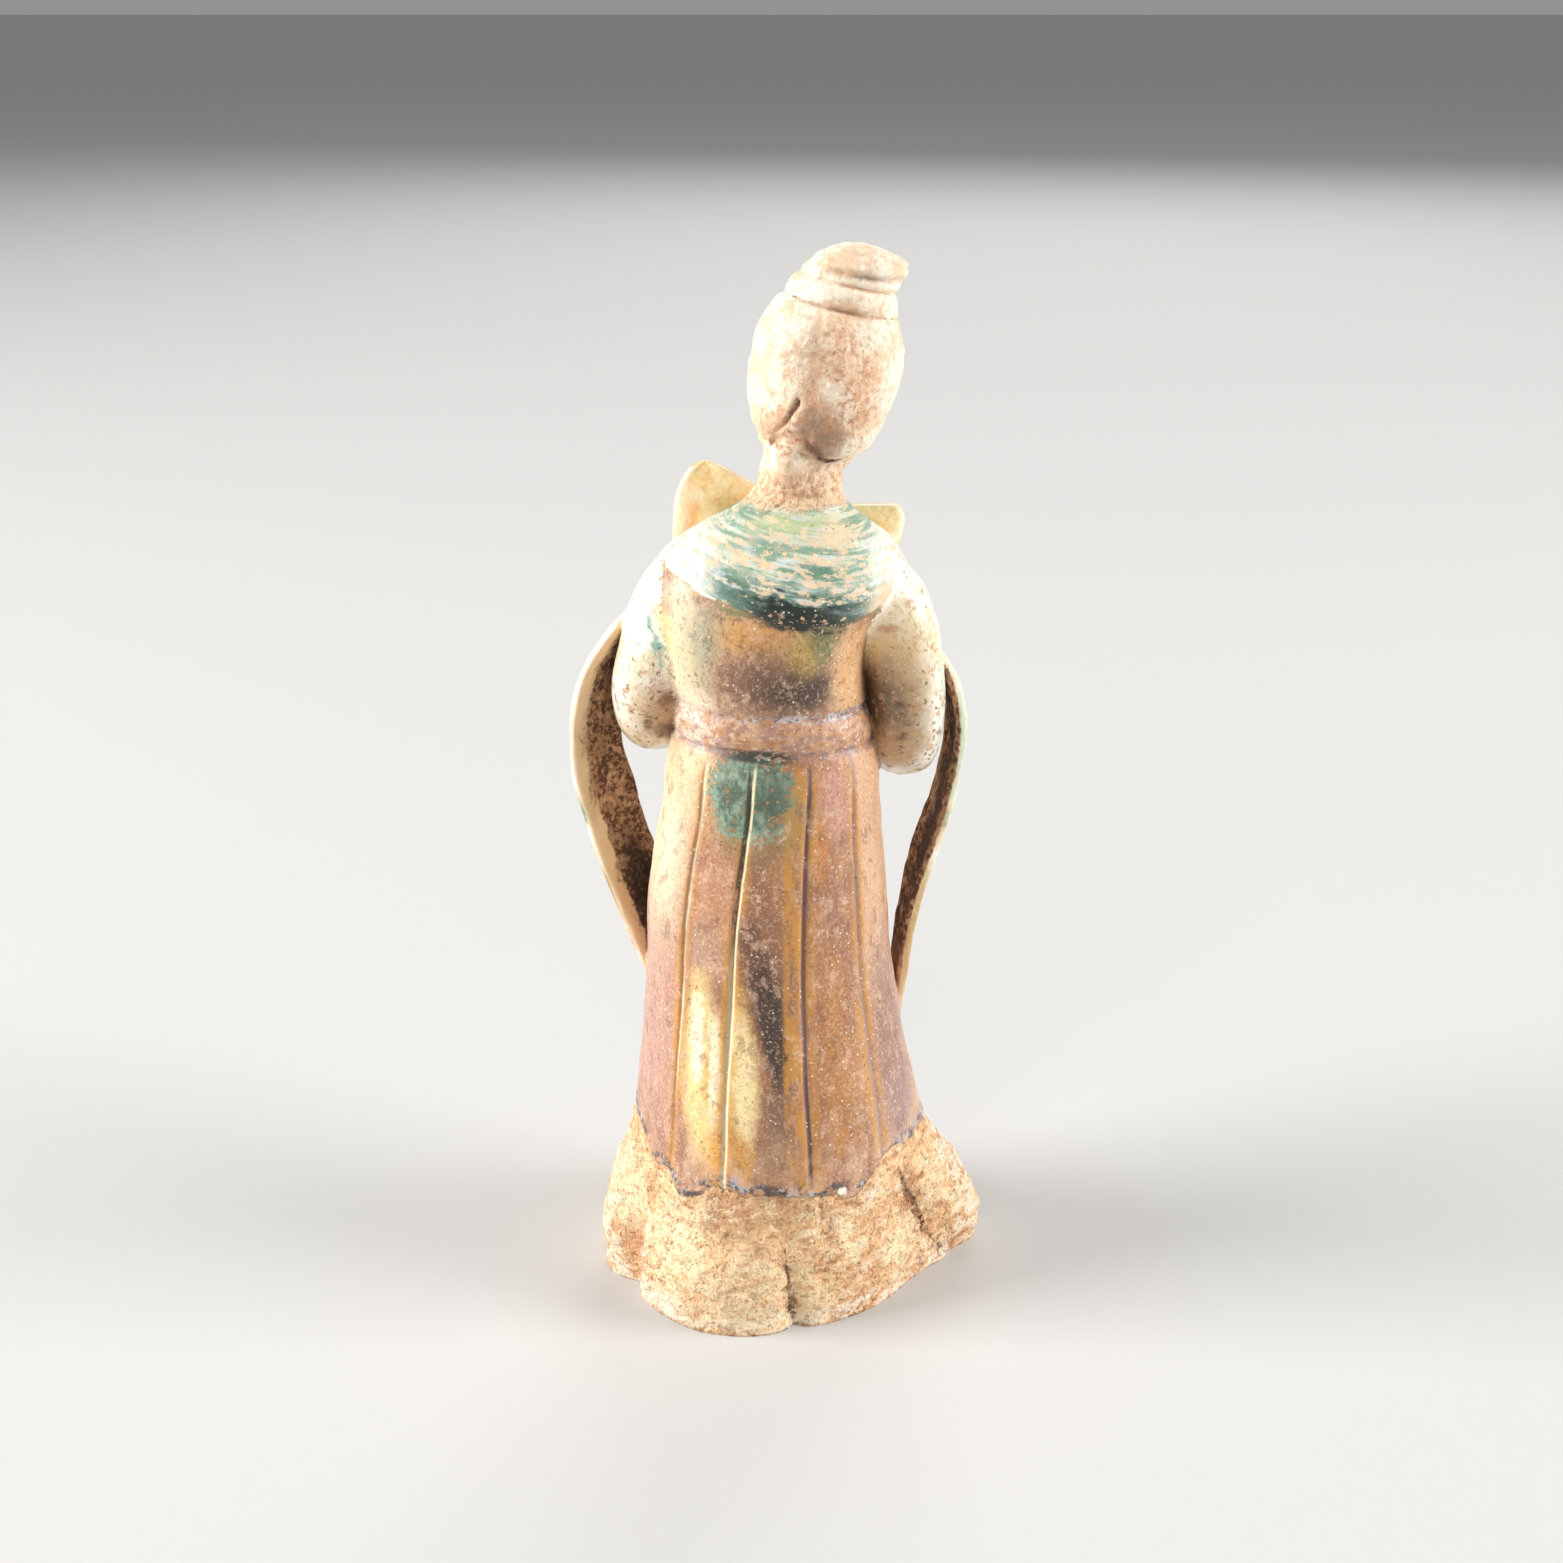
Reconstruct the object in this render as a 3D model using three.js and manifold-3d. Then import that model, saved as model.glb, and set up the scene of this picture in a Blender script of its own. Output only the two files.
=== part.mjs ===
// A standing woman musician in lead-glazed earthenware, moulded and fired as one piece.
// She wears a long pleated skirt, a winged jacket with full sleeves and a scarf whose
// two ends swing clear of the body, and she holds a set of panpipes before her chest.
// Millimetres, +Z up. She faces -Y, and her left hand is towards +X. The origin is on
// the ground, under the middle of the figure.

import * as THREE from "three";
import { LoftGeometry } from "three/addons/geometries/LoftGeometry.js";
import { mergeVertices } from "three/addons/utils/BufferGeometryUtils.js";
import Module from "manifold-3d";

// Driving dimensions.
const HEM_CENTRE_X = -1;
const HEM_FLARE_TOP = 66;
const HEM_CREASE_DEPTH = 3.2;
const HEM_CREASE_ANGLE = 7;
const PLEAT_DEPTH = 1.1;
const PLEAT_ANGLE = 2.6;
const PLEAT_TWIST = 12.5;
const PLEAT_FOOT = 34;
const SKIRT_TOP = 143;
const BELT_MIDDLE = 149;
const BELT_HALF_HEIGHT = 3.6;
const BELT_RISE = 0.9;
const BELT_GROOVE = 0.9;
const BELT_GROOVE_WIDTH = 1.6;
const BELT_SLOPE = 0.045;
const SCARF_STEP = 1.5;
const SCARF_FOLD_DEPTH = 0.8;
const SCARF_TOP = 204;
const NECK_TOP = 216;
const HEAD_CENTRE = new THREE.Vector3(-8.35, -2, 229.5);
const HEAD_TILT = 13;
const SCARF_THICKNESS = 3.6;
const PIPE_COUNT = 11;
const PIPE_SIDES = 6;
const PIPE_RADIUS = 1.8;
const PIPE_PITCH = 3;
const PIPE_STRAP_DROP = 6;
const PIPE_TOP = 184;
const PIPE_LONGEST = 34;
const PIPE_SHORTEST = 24;
const PIPE_CENTRE_X = 1.5;
const PIPE_CENTRE_Y = -28;
const HAND_SPREAD = 18.4;
const HAND_CENTRE_Y = -25;
const FINGER_RADIUS = 1.8;
const FINGER_PITCH = 3.3;
const WRIST_RADIUS = 4;
const SHOE_CENTRE_Y = -33;
const SHOE_HEIGHT = 6.4;

// Columns and rows of the surfaces.
const GOWN_COLUMN_STEP = 10;
const ARM_COLUMNS = 16;
const ARM_ROWS = 13;
const HEAD_COLUMNS = 24;
const KNOT_COLUMNS = 16;
const SCARF_COLUMNS = 8;
const SCARF_ROWS = 20;

const wasm = await Module();
wasm.setup();

const radians = THREE.MathUtils.degToRad;
const clamp = THREE.MathUtils.clamp;
const lerp = THREE.MathUtils.lerp;

// A smooth curve through [position, value] stations, with the mean slope at each one.
function curveOf(stations) {
  const at = stations.map((s) => s[0]);
  const value = stations.map((s) => s[1]);
  const last = at.length - 1;
  const slope = value.map((_, i) => {
    const before = Math.max(i - 1, 0);
    const after = Math.min(i + 1, last);
    return (value[after] - value[before]) / (at[after] - at[before]);
  });
  return (x) => {
    if (x <= at[0]) return value[0];
    if (x >= at[last]) return value[last];
    const i = at.findIndex((a) => a > x) - 1;
    const span = at[i + 1] - at[i];
    const t = (x - at[i]) / span;
    const s = 1 - t;
    const ends = value[i] * (1 + 2 * t) * s * s + value[i + 1] * (3 - 2 * t) * t * t;
    return ends + span * (slope[i] * t * s * s - slope[i + 1] * t * t * s);
  };
}

// 1 at the middle of a bump, 0 at its foot and beyond.
const tent = (distance, width) => Math.max(0, 1 - Math.abs(distance) / width);
const bump = (distance, width) => 0.5 - 0.5 * Math.cos(Math.PI * tent(distance, width));
const turned = (a, b) => ((a - b + 540) % 360) - 180;

// Turns a closed geometry into a solid that can be joined or cut.
function solidOf(geometry) {
  const bare = new THREE.BufferGeometry();
  bare.setAttribute("position", geometry.getAttribute("position"));
  bare.setIndex(geometry.getIndex());
  const merged = mergeVertices(bare, 1e-4);
  const all = merged.getIndex().array;
  const kept = [];
  for (let i = 0; i < all.length; i += 3) {
    const [a, b, c] = [all[i], all[i + 1], all[i + 2]];
    if (a !== b && b !== c && c !== a) kept.push(a, b, c);
  }
  return new wasm.Manifold(
    new wasm.Mesh({
      numProp: 3,
      vertProperties: merged.getAttribute("position").array,
      triVerts: new Uint32Array(kept),
    }),
  );
}

function loft(sections) {
  return solidOf(new LoftGeometry(sections, { capStart: true, capEnd: true }));
}

// Skirt and trunk. Widths are measured at the sides, depths at the back and the front.
const trunkCentre = curveOf([
  [0, 1], [48, 2.3], [60, 3.1], [72, 3.7], [100, 4.6], [118, 4.2], [128, 3.6], [137, 3.4],
  [150, 3.4], [162, 4.6], [172, 4.4], [180, 2.6], [190, 1], [197, -0.6], [202, -2.2],
  [208, -3.2], [216, -4.4],
]);
const trunkWidth = curveOf([
  [0, 35.4], [48, 34.7], [57, 34.1], [72, 32.3], [86, 30.7], [100, 29.9], [111, 28.8],
  [119, 27.8], [127, 26.6], [137, 25.9], [150, 23.4], [162, 23.4], [172, 24.8], [180, 28],
  [185, 29.4], [189, 28.6], [193, 25.2], [197, 19], [200, 14.2], [203, 11], [208, 9.8],
  [216, 9.4],
]);
const trunkBack = curveOf([
  [0, 34], [48, 34], [57, 32.6], [72, 29.5], [86, 27.2], [100, 25.6], [120, 23], [137, 20.6],
  [148, 19.6], [160, 21.4], [170, 22.8], [178, 22.2], [184, 19.6], [190, 15.6], [195, 12.4],
  [200, 9.8], [205, 8.4], [216, 8],
]);
const trunkFront = curveOf([
  [0, 31], [48, 31], [57, 30], [72, 27.4], [100, 24], [120, 22.4], [137, 21.4], [148, 21],
  [160, 22.4], [170, 21.4], [178, 18.4], [184, 15.4], [190, 12.8], [195, 11.4], [200, 10.6],
  [205, 10], [216, 9.6],
]);
const hemRadius = curveOf([
  [0, 49], [12, 48.8], [24, 45.4], [40, 45.4], [57, 45.6], [73, 43.6], [92, 38.8], [110, 36.4],
  [130, 35.2], [152, 34.8], [165, 37.8], [172, 41.4], [180, 46.6], [186, 50.4], [193, 52.4],
  [201, 51.4], [210, 48], [224, 44], [240, 42.5], [262, 40.5], [285, 40], [305, 41.5],
  [325, 44.5], [345, 47.8], [360, 49],
]);
const HEM_LOW_LOBE = 195;
const HEM_LOW_LOBE_DROP = 5;
const hemSpread = curveOf([
  [0, 0.94], [4, 0.985], [9, 1], [14, 0.97], [19, 0.91], [24, 0.81], [28, 0.69], [32, 0.54],
  [36, 0.38], [40, 0.26], [44, 0.18], [50, 0.1], [57, 0.04], [HEM_FLARE_TOP, 0],
]);

// Creases between the lobes of the hem: their angle at the ground and at the top.
const HEM_CREASES = [
  { foot: 24, top: 30, height: 30 },
  { foot: 92, top: 92, height: 34 },
  { foot: 180, top: 150, height: 36 },
  { foot: 240, top: 246, height: 34 },
  { foot: 306, top: 300, height: 34 },
];

// Pleats, as angles round the trunk where they leave the belt. The back is at 90.
const BACK_PLEATS = [52, 80, 110.7, 139];
const FRONT_PLEATS = [212, 240, 300, 328];

const pleatTwist = (angle) => PLEAT_TWIST * bump(turned(angle, 80), 80);

// The lower edge of the scarf across the back, which hangs lower on her right.
const scarfEdge = curveOf([
  [-30, 181], [-22, 178.2], [-12, 177], [0, 178.6], [10, 181], [19, 184], [28, 188],
]);
const SCARF_EDGE_MEAN = 180;
const SCARF_FOLDS = [5.5, 10.5, 15.5];

// Rows near the lower edge of the scarf run along it at the back.
function levelOf(angle, row) {
  const s = Math.sin(radians(angle));
  const x = trunkCentre(row) + trunkWidth(row) * Math.cos(radians(angle));
  return row + (scarfEdge(x) - SCARF_EDGE_MEAN) * clamp(s * 2.5, 0, 1) * bump(row - 180, 22);
}

function gownPoint(startAngle, row) {
  const z = levelOf(startAngle, row);
  const down = clamp((SKIRT_TOP - z) / SKIRT_TOP, 0, 1);
  const angle = startAngle - pleatTwist(startAngle) * Math.min(1, down * 1.4);
  const c = Math.cos(radians(angle));
  const s = Math.sin(radians(angle));
  const depth = s > 0 ? trunkBack(z) : trunkFront(z);
  const centre = trunkCentre(z);
  let x = centre + trunkWidth(z) * c;
  let y = depth * s;

  const drop = 1 + HEM_LOW_LOBE_DROP * bump(turned(angle, HEM_LOW_LOBE), 50);
  const spread = hemSpread(z > 9 ? Math.max(9, z + drop) : z);
  const hem = hemRadius((angle + 360) % 360);
  x = lerp(x, HEM_CENTRE_X + hem * c, spread);
  y = lerp(y, hem * s, spread);

  let out = 0;
  for (const crease of HEM_CREASES) {
    const up = clamp(z / crease.height, 0, 1);
    const line = lerp(crease.foot, crease.top, up);
    out -= HEM_CREASE_DEPTH * (1 - up ** 2) * bump(turned(angle, line), HEM_CREASE_ANGLE);
  }
  const inSkirt = clamp((SKIRT_TOP - z) / 4, 0, 1) * clamp((z - PLEAT_FOOT) / 10, 0, 1);
  for (const pleat of [...BACK_PLEATS, ...FRONT_PLEATS]) {
    out -= PLEAT_DEPTH * inSkirt * tent(turned(startAngle, pleat), PLEAT_ANGLE);
  }
  const fromBelt = z - BELT_MIDDLE - BELT_SLOPE * x;
  out += BELT_RISE * bump(fromBelt, BELT_HALF_HEIGHT);
  const fromGroove = Math.abs(fromBelt) - BELT_HALF_HEIGHT - 0.9;
  out -= BELT_GROOVE * bump(fromGroove, BELT_GROOVE_WIDTH);
  if (s > 0 && z > 170 && z < SCARF_TOP) {
    const overEdge = z - scarfEdge(x);
    const shown = clamp(s * 1.7 - 0.25, 0, 1);
    const raised = clamp(overEdge / 1.5 + 0.5, 0, 1) * clamp((SCARF_TOP - z) / 6, 0, 1);
    out += SCARF_STEP * shown * raised;
    for (const fold of SCARF_FOLDS) out -= SCARF_FOLD_DEPTH * shown * bump(overEdge - fold, 2);
  }
  const away = Math.hypot(x - centre, y);
  x += (out * (x - centre)) / away;
  y += (out * y) / away;
  return new THREE.Vector3(x, y, z);
}

// Columns every few degrees, with three more at each pleat for its groove.
function gownAngles() {
  const pleats = [...BACK_PLEATS, ...FRONT_PLEATS];
  const angles = [];
  for (let a = 0; a < 360; a += GOWN_COLUMN_STEP) {
    if (pleats.every((p) => Math.abs(turned(a, p)) > PLEAT_ANGLE + 1.5)) angles.push(a);
  }
  for (const p of pleats) angles.push(p - PLEAT_ANGLE, p, p + PLEAT_ANGLE);
  return angles.sort((a, b) => a - b);
}

const GOWN_HEIGHTS = [
  0, 4, 9, 15, 20, 25, 29, 33, 37, 41, 46, 54, 64, 78, 94, 110, 126, 136, 141.5, 144.2,
  146.2, 149, 151.8, 153.8, 158, 166, 173, 179, 180.6, 183.5, 185.5, 187.8, 190.5, 193, 195.5,
  198, 200.5, 204, NECK_TOP,
];

function gown() {
  const angles = gownAngles();
  return loft(GOWN_HEIGHTS.map((z) => angles.map((a) => gownPoint(a, z))));
}

// A tube along a path. Each station is a point, a half width across and a half height,
// and squareness makes the section boxier. The first cross direction is +X or -X.
function tubeAlong(stations, columns, rows, squareness = 2) {
  const path = new THREE.CatmullRomCurve3(stations.map((s) => new THREE.Vector3(...s.at)));
  const last = stations.length - 1;
  const wide = curveOf(stations.map((s, i) => [i / last, s.wide]));
  const tall = curveOf(stations.map((s, i) => [i / last, s.tall]));
  const sections = [];
  for (let row = 0; row <= rows; row += 1) {
    const t = row / rows;
    const along = path.getTangent(t).normalize();
    const side = new THREE.Vector3(1, 0, 0).addScaledVector(along, -along.x).normalize();
    const up = along.clone().cross(side);
    const middle = path.getPoint(t);
    const ring = [];
    for (let k = 0; k < columns; k += 1) {
      const a = (k / columns) * Math.PI * 2;
      const [c, s] = [Math.cos(a), Math.sin(a)];
      const r = (Math.abs(c) ** squareness + Math.abs(s) ** squareness) ** (-1 / squareness);
      ring.push(
        middle
          .clone()
          .addScaledVector(side, wide(t) * r * c)
          .addScaledVector(up, tall(t) * r * s),
      );
    }
    sections.push(ring);
  }
  return loft(sections);
}

const LEFT_ARM = [
  { at: [10, -1, 186], wide: 7, tall: 7 },
  { at: [20, -1, 184.6], wide: 9.2, tall: 10 },
  { at: [27, -1.5, 176.8], wide: 9.7, tall: 11 },
  { at: [31, -2.5, 164], wide: 9.4, tall: 11 },
  { at: [33.2, -4.5, 154], wide: 9.3, tall: 10.6 },
  { at: [31.8, -10, 147.6], wide: 9.8, tall: 10.8 },
  { at: [29.8, -18.5, 150.5], wide: 9.2, tall: 10.6 },
  { at: [24.4, -26, 156.5], wide: 8, tall: 10 },
];
const RIGHT_ARM = [
  { at: [-9, -1, 184], wide: 7, tall: 7 },
  { at: [-19.4, -1, 182.4], wide: 9.2, tall: 10 },
  { at: [-25.4, -1.5, 174], wide: 9.7, tall: 11 },
  { at: [-28, -2.5, 163], wide: 9.6, tall: 11 },
  { at: [-29.2, -4, 152], wide: 9.5, tall: 12 },
  { at: [-28.6, -10, 143.6], wide: 9.4, tall: 13 },
  { at: [-26, -18.5, 148.5], wide: 9.2, tall: 12 },
  { at: [-21.4, -25.6, 156.5], wide: 8, tall: 10 },
];

// An egg-shaped solid whose axis is Z before it is turned and placed.
function egg(widths, backs, fronts, columns, heights, shift = () => 0, relief = () => 0) {
  const sections = heights.map((t) => {
    const ring = [];
    for (let k = 0; k < columns; k += 1) {
      const a = (k / columns) * Math.PI * 2;
      const [c, s] = [Math.cos(a), Math.sin(a)];
      const x = widths(t) * c;
      const y = (s > 0 ? backs(t) : fronts(t)) * s - (s < 0 ? relief(x, t) : 0);
      ring.push(new THREE.Vector3(x + shift(t), y, t));
    }
    return ring;
  });
  return new LoftGeometry(sections, { capStart: true, capEnd: true });
}

const headPlacement = new THREE.Matrix4()
  .makeRotationY(radians(-HEAD_TILT))
  .setPosition(HEAD_CENTRE);

// Nose, brows, lips and chin, as rises over the smooth front of the head.
function faceRelief(x, t) {
  const nose = 2.6 * bump(x, 3.4) * bump(t + 5.5, 5.5) * (t < -6.5 ? 1 : 0.85);
  const bridge = 1.0 * bump(x, 2.6) * bump(t, 6);
  const lips = 1.0 * bump(x, 4.2) * bump(t + 11.4, 2.6);
  const chin = 1.1 * bump(x, 6) * bump(t + 16.5, 4);
  const eyes = -0.9 * (bump(x - 5.4, 4.6) + bump(x + 5.4, 4.6)) * bump(t + 1, 3.4);
  return nose + bridge + lips + chin + eyes;
}

function head() {
  const widths = curveOf([
    [-20, 6], [-18.5, 9.4], [-15, 12], [-10.5, 14], [-4, 15.8], [2, 16.5], [7.5, 16.3],
    [12.4, 14.9], [16.5, 12.9], [19.5, 9],
  ]);
  const backs = curveOf([
    [-20, 8], [-18, 10.2], [-12, 13.6], [-4, 16], [4, 16.6], [10, 15.2], [15, 12.6], [19.5, 8],
  ]);
  const fronts = curveOf([
    [-20, 5], [-18.5, 9.6], [-15, 12.4], [-10, 13.8], [-4, 14.6], [3, 15.4], [9, 15],
    [14, 12.6], [19.5, 8],
  ]);
  const heights = [
    -20, -18.5, -16.5, -14, -12.6, -11.4, -10.2, -8.6, -7, -5, -3, -1, 1.5, 5, 9, 12.5, 15.5,
    17.6, 19.5,
  ];
  const shape = egg(widths, backs, fronts, HEAD_COLUMNS, heights, () => 0, faceRelief);
  return solidOf(shape.applyMatrix4(headPlacement));
}

// The band round the foot of the topknot, and the lobe of hair swept over to her right.
function topknot() {
  const band = egg(
    curveOf([[14, 10.5], [17, 12.9], [19.6, 12.7], [22.2, 11.4], [24, 9]]),
    curveOf([[14, 9], [17.4, 10.6], [20.4, 10.8], [22.6, 9.6], [24, 7]]),
    curveOf([[14, 9], [17.4, 10.6], [20.4, 10.8], [22.6, 9.6], [24, 7]]),
    KNOT_COLUMNS,
    [14, 17.4, 19, 20.8, 22.6, 24],
    () => -0.1,
  );
  const lobe = egg(
    curveOf([[21, 9.4], [22.4, 11], [26.2, 10.9], [28.9, 9.4], [30.3, 7.3], [31.5, 3]]),
    curveOf([[21, 7], [22.6, 9], [25.6, 9.6], [28.4, 8.2], [30.3, 5.6], [31.5, 2.2]]),
    curveOf([[21, 7], [22.6, 9], [25.6, 9.6], [28.4, 8.2], [30.3, 5.6], [31.5, 2.2]]),
    KNOT_COLUMNS,
    [21, 22.4, 24.4, 26.6, 28.6, 30.3, 31.5],
    curveOf([[21, -0.2], [22.4, -0.4], [26.2, -2.1], [28.9, -3.6], [30.3, -4.1], [31.5, -3]]),
  );
  return solidOf(band.applyMatrix4(headPlacement)).add(
    solidOf(lobe.applyMatrix4(headPlacement)),
  );
}

// A wing of the jacket: a plate between two edges, thickest along a ridge at its back.
function wing({ inner, outer, ridge, heights, middle }) {
  const sections = heights.map((z) => {
    const [a, b, r] = [inner(z), outer(z), ridge(z)];
    const half = Math.min(1.3, Math.abs(b - a) / 6);
    const y = middle(z);
    const corners = [
      [a, y - half], [(a + b) / 2, y - half - 0.5], [b, y - half],
      [b, y + half], [r, y + half + 1.9], [a, y + half],
    ];
    const ring = corners.map(([px, py]) => new THREE.Vector3(px, py, z));
    return a > b ? ring.reverse() : ring;
  });
  return loft(sections);
}

const LEFT_WING = {
  inner: curveOf([[180, 9], [198, 7], [202.3, 7.4], [204.4, 11], [206.9, 15.4], [208.2, 18.4]]),
  outer: curveOf([[180, 27], [190, 27.3], [198.7, 26.7], [203, 25.4], [206.6, 23], [208.2, 20.4]]),
  ridge: curveOf([[180, 19], [200, 19.4], [208.2, 19.3]]),
  heights: [181, 190, 196, 200, 202.5, 204.5, 206.4, 207.6, 208.2],
  middle: curveOf([[180, -11.4], [208, -13.6]]),
};
const RIGHT_WING = {
  inner: curveOf([[176, -12], [197.6, -12.5]]),
  outer: curveOf([[176, -26], [187, -27.1], [191.3, -28.2], [195.3, -28.5], [197.6, -27]]),
  ridge: curveOf([[176, -16], [187, -22.5], [197.6, -26]]),
  heights: [177, 184, 188, 191.5, 194.5, 196.6, 197.6],
  middle: curveOf([[176, -11.4], [198, -13.2]]),
};

// A scarf end: a band of clay between two edge curves, rounded at the edges.
function scarfEnd(pairs) {
  const back = new THREE.CatmullRomCurve3(pairs.map((p) => new THREE.Vector3(...p.back)));
  const front = new THREE.CatmullRomCurve3(pairs.map((p) => new THREE.Vector3(...p.front)));
  const sections = [];
  for (let row = 0; row <= SCARF_ROWS; row += 1) {
    const t = row / SCARF_ROWS;
    const [b, f] = [back.getPoint(t), front.getPoint(t)];
    const across = b.clone().sub(f).multiplyScalar(0.5);
    const middle = b.clone().add(f).multiplyScalar(0.5);
    const along = back.getTangent(t).add(front.getTangent(t)).normalize();
    const face = along.clone().cross(across).normalize();
    const half = across.length();
    across.normalize();
    const ring = [];
    for (let k = 0; k < SCARF_COLUMNS; k += 1) {
      const a = (k / SCARF_COLUMNS) * Math.PI * 2;
      const [c, s] = [Math.cos(a), Math.sin(a)];
      const r = (Math.abs(c) ** 4 + Math.abs(s) ** 4) ** -0.25;
      ring.push(
        middle
          .clone()
          .addScaledVector(across, half * r * c)
          .addScaledVector(face, (SCARF_THICKNESS / 2) * r * s),
      );
    }
    sections.push(ring);
  }
  return loft(sections);
}

const LEFT_SCARF = [
  { back: [29, -6, 181], front: [23, -14, 177] },
  { back: [37.6, -3.5, 174], front: [31, -14, 171] },
  { back: [42.8, -2.5, 168], front: [37, -14.5, 163.5] },
  { back: [48, -2, 160.7], front: [40.5, -15, 155] },
  { back: [51.3, -2, 151.5], front: [41.8, -15, 146.5] },
  { back: [52.5, -2, 142], front: [41.6, -15, 138] },
  { back: [52.1, -2, 132], front: [39.8, -14.5, 130] },
  { back: [49.5, -2, 121], front: [37.2, -14, 121] },
  { back: [46.5, -2, 110], front: [34, -13, 111] },
  { back: [42.3, -2, 98], front: [31.4, -12, 100] },
  { back: [37.4, -1, 85.5], front: [29.4, -11, 88] },
  { back: [32.4, 0, 73], front: [27, -10, 76] },
];
const RIGHT_SCARF = [
  { back: [-27, -6, 172], front: [-23, -15, 168] },
  { back: [-37, -4, 163], front: [-33, -16, 160] },
  { back: [-40.9, -3, 156.6], front: [-38, -17, 153] },
  { back: [-42.7, -3, 149], front: [-40.5, -17, 145] },
  { back: [-43.1, -3, 141], front: [-41, -17, 137.5] },
  { back: [-42.1, -3, 132.5], front: [-39.4, -17, 130] },
  { back: [-39.9, -3, 122], front: [-36.8, -16.5, 120.5] },
  { back: [-36.7, -3, 110.5], front: [-33.3, -15.5, 110.5] },
  { back: [-33.3, -3, 99], front: [-30.8, -14, 100] },
  { back: [-30.9, -3, 88], front: [-29.2, -13, 89] },
  { back: [-29.8, -3, 78], front: [-28, -12, 79] },
  { back: [-28, -2, 66], front: [-26, -11, 68] },
];

// A round rod between two points, with domed ends.
function rod(from, to, radius, columns = 6) {
  const height = from.distanceTo(to);
  const shape = new THREE.CapsuleGeometry(radius, height, 1, columns, 1);
  const turn = new THREE.Quaternion().setFromUnitVectors(
    new THREE.Vector3(0, 1, 0),
    to.clone().sub(from).normalize(),
  );
  shape.applyQuaternion(turn);
  shape.translate(...from.clone().add(to).multiplyScalar(0.5).toArray());
  return solidOf(shape);
}

// Panpipes: a raft of upright tubes that shorten towards her right, with a strap across.
function panpipes() {
  const tubes = [];
  for (let i = 0; i < PIPE_COUNT; i += 1) {
    const share = i / (PIPE_COUNT - 1);
    const length = lerp(PIPE_SHORTEST, PIPE_LONGEST, share);
    const x = PIPE_CENTRE_X + (i - (PIPE_COUNT - 1) / 2) * PIPE_PITCH;
    const tube = new THREE.CylinderGeometry(PIPE_RADIUS, PIPE_RADIUS, length, PIPE_SIDES);
    tube.rotateX(Math.PI / 2);
    tube.translate(x, PIPE_CENTRE_Y, PIPE_TOP - length / 2);
    tubes.push(solidOf(tube));
  }
  const wide = (PIPE_COUNT - 1) * PIPE_PITCH + 3;
  const strap = new THREE.BoxGeometry(wide, PIPE_RADIUS * 2 + 0.8, 2.6);
  strap.translate(PIPE_CENTRE_X, PIPE_CENTRE_Y, PIPE_TOP - PIPE_STRAP_DROP);
  tubes.push(solidOf(strap));
  return tubes;
}

// A hand closed on one end of the pipes: palm, thumb and four fingers. Side is 1 or -1.
function hand(side, palmAt) {
  const made = [];
  const palm = new THREE.SphereGeometry(1, 10, 7);
  palm.scale(4.6, 6, 6.6);
  palm.translate(...palmAt);
  made.push(solidOf(palm));
  for (let i = 0; i < 4; i += 1) {
    const z = palmAt[2] + (1.5 - i) * FINGER_PITCH;
    const y = PIPE_CENTRE_Y - PIPE_RADIUS - 1;
    const knuckle = new THREE.Vector3(palmAt[0] + side * 1.2, y + 1.2, z);
    const tip = new THREE.Vector3(palmAt[0] - side * (7.5 - 0.7 * i), y, z - 0.4);
    made.push(rod(knuckle, tip, FINGER_RADIUS));
  }
  const thumbFoot = new THREE.Vector3(palmAt[0], palmAt[1] + 3, palmAt[2] + 5);
  const thumbTip = new THREE.Vector3(palmAt[0] - side * 6, PIPE_CENTRE_Y + 3.6, palmAt[2] + 7);
  made.push(rod(thumbFoot, thumbTip, FINGER_RADIUS));
  const sleeve = new THREE.Vector3(palmAt[0] + side * 5.5, palmAt[1] + 5, palmAt[2] - 14);
  made.push(rod(sleeve, new THREE.Vector3(...palmAt), WRIST_RADIUS, 9));
  return made;
}

// A rounded, turned-up shoe tip under the front of the hem.
function shoe(x) {
  const toe = new THREE.SphereGeometry(1, 12, 7);
  toe.scale(7.4, 8.6, 6.6);
  toe.translate(x, SHOE_CENTRE_Y, SHOE_HEIGHT);
  return solidOf(toe);
}

function cutFlatBelow(solid) {
  const ground = new THREE.BoxGeometry(200, 200, 40);
  ground.translate(0, 0, -20);
  return solid.subtract(solidOf(ground));
}

function geometryOf(solid) {
  const mesh = solid.getMesh();
  const geometry = new THREE.BufferGeometry();
  geometry.setAttribute("position", new THREE.BufferAttribute(mesh.vertProperties, 3));
  geometry.setIndex(new THREE.BufferAttribute(mesh.triVerts, 1));
  geometry.computeVertexNormals();
  return geometry;
}

const pieces = [
  gown(),
  tubeAlong(LEFT_ARM, ARM_COLUMNS, ARM_ROWS, 2.2),
  tubeAlong(RIGHT_ARM, ARM_COLUMNS, ARM_ROWS, 2.8),
  head(),
  topknot(),
  wing(LEFT_WING),
  wing(RIGHT_WING),
  scarfEnd(LEFT_SCARF),
  scarfEnd(RIGHT_SCARF),
  ...panpipes(),
  ...hand(1, [PIPE_CENTRE_X + HAND_SPREAD, HAND_CENTRE_Y, 167]),
  ...hand(-1, [PIPE_CENTRE_X - HAND_SPREAD, HAND_CENTRE_Y, 169]),
  shoe(-11),
  shoe(9),
];
const whole = cutFlatBelow(pieces.reduce((sum, piece) => sum.add(piece)));

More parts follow.
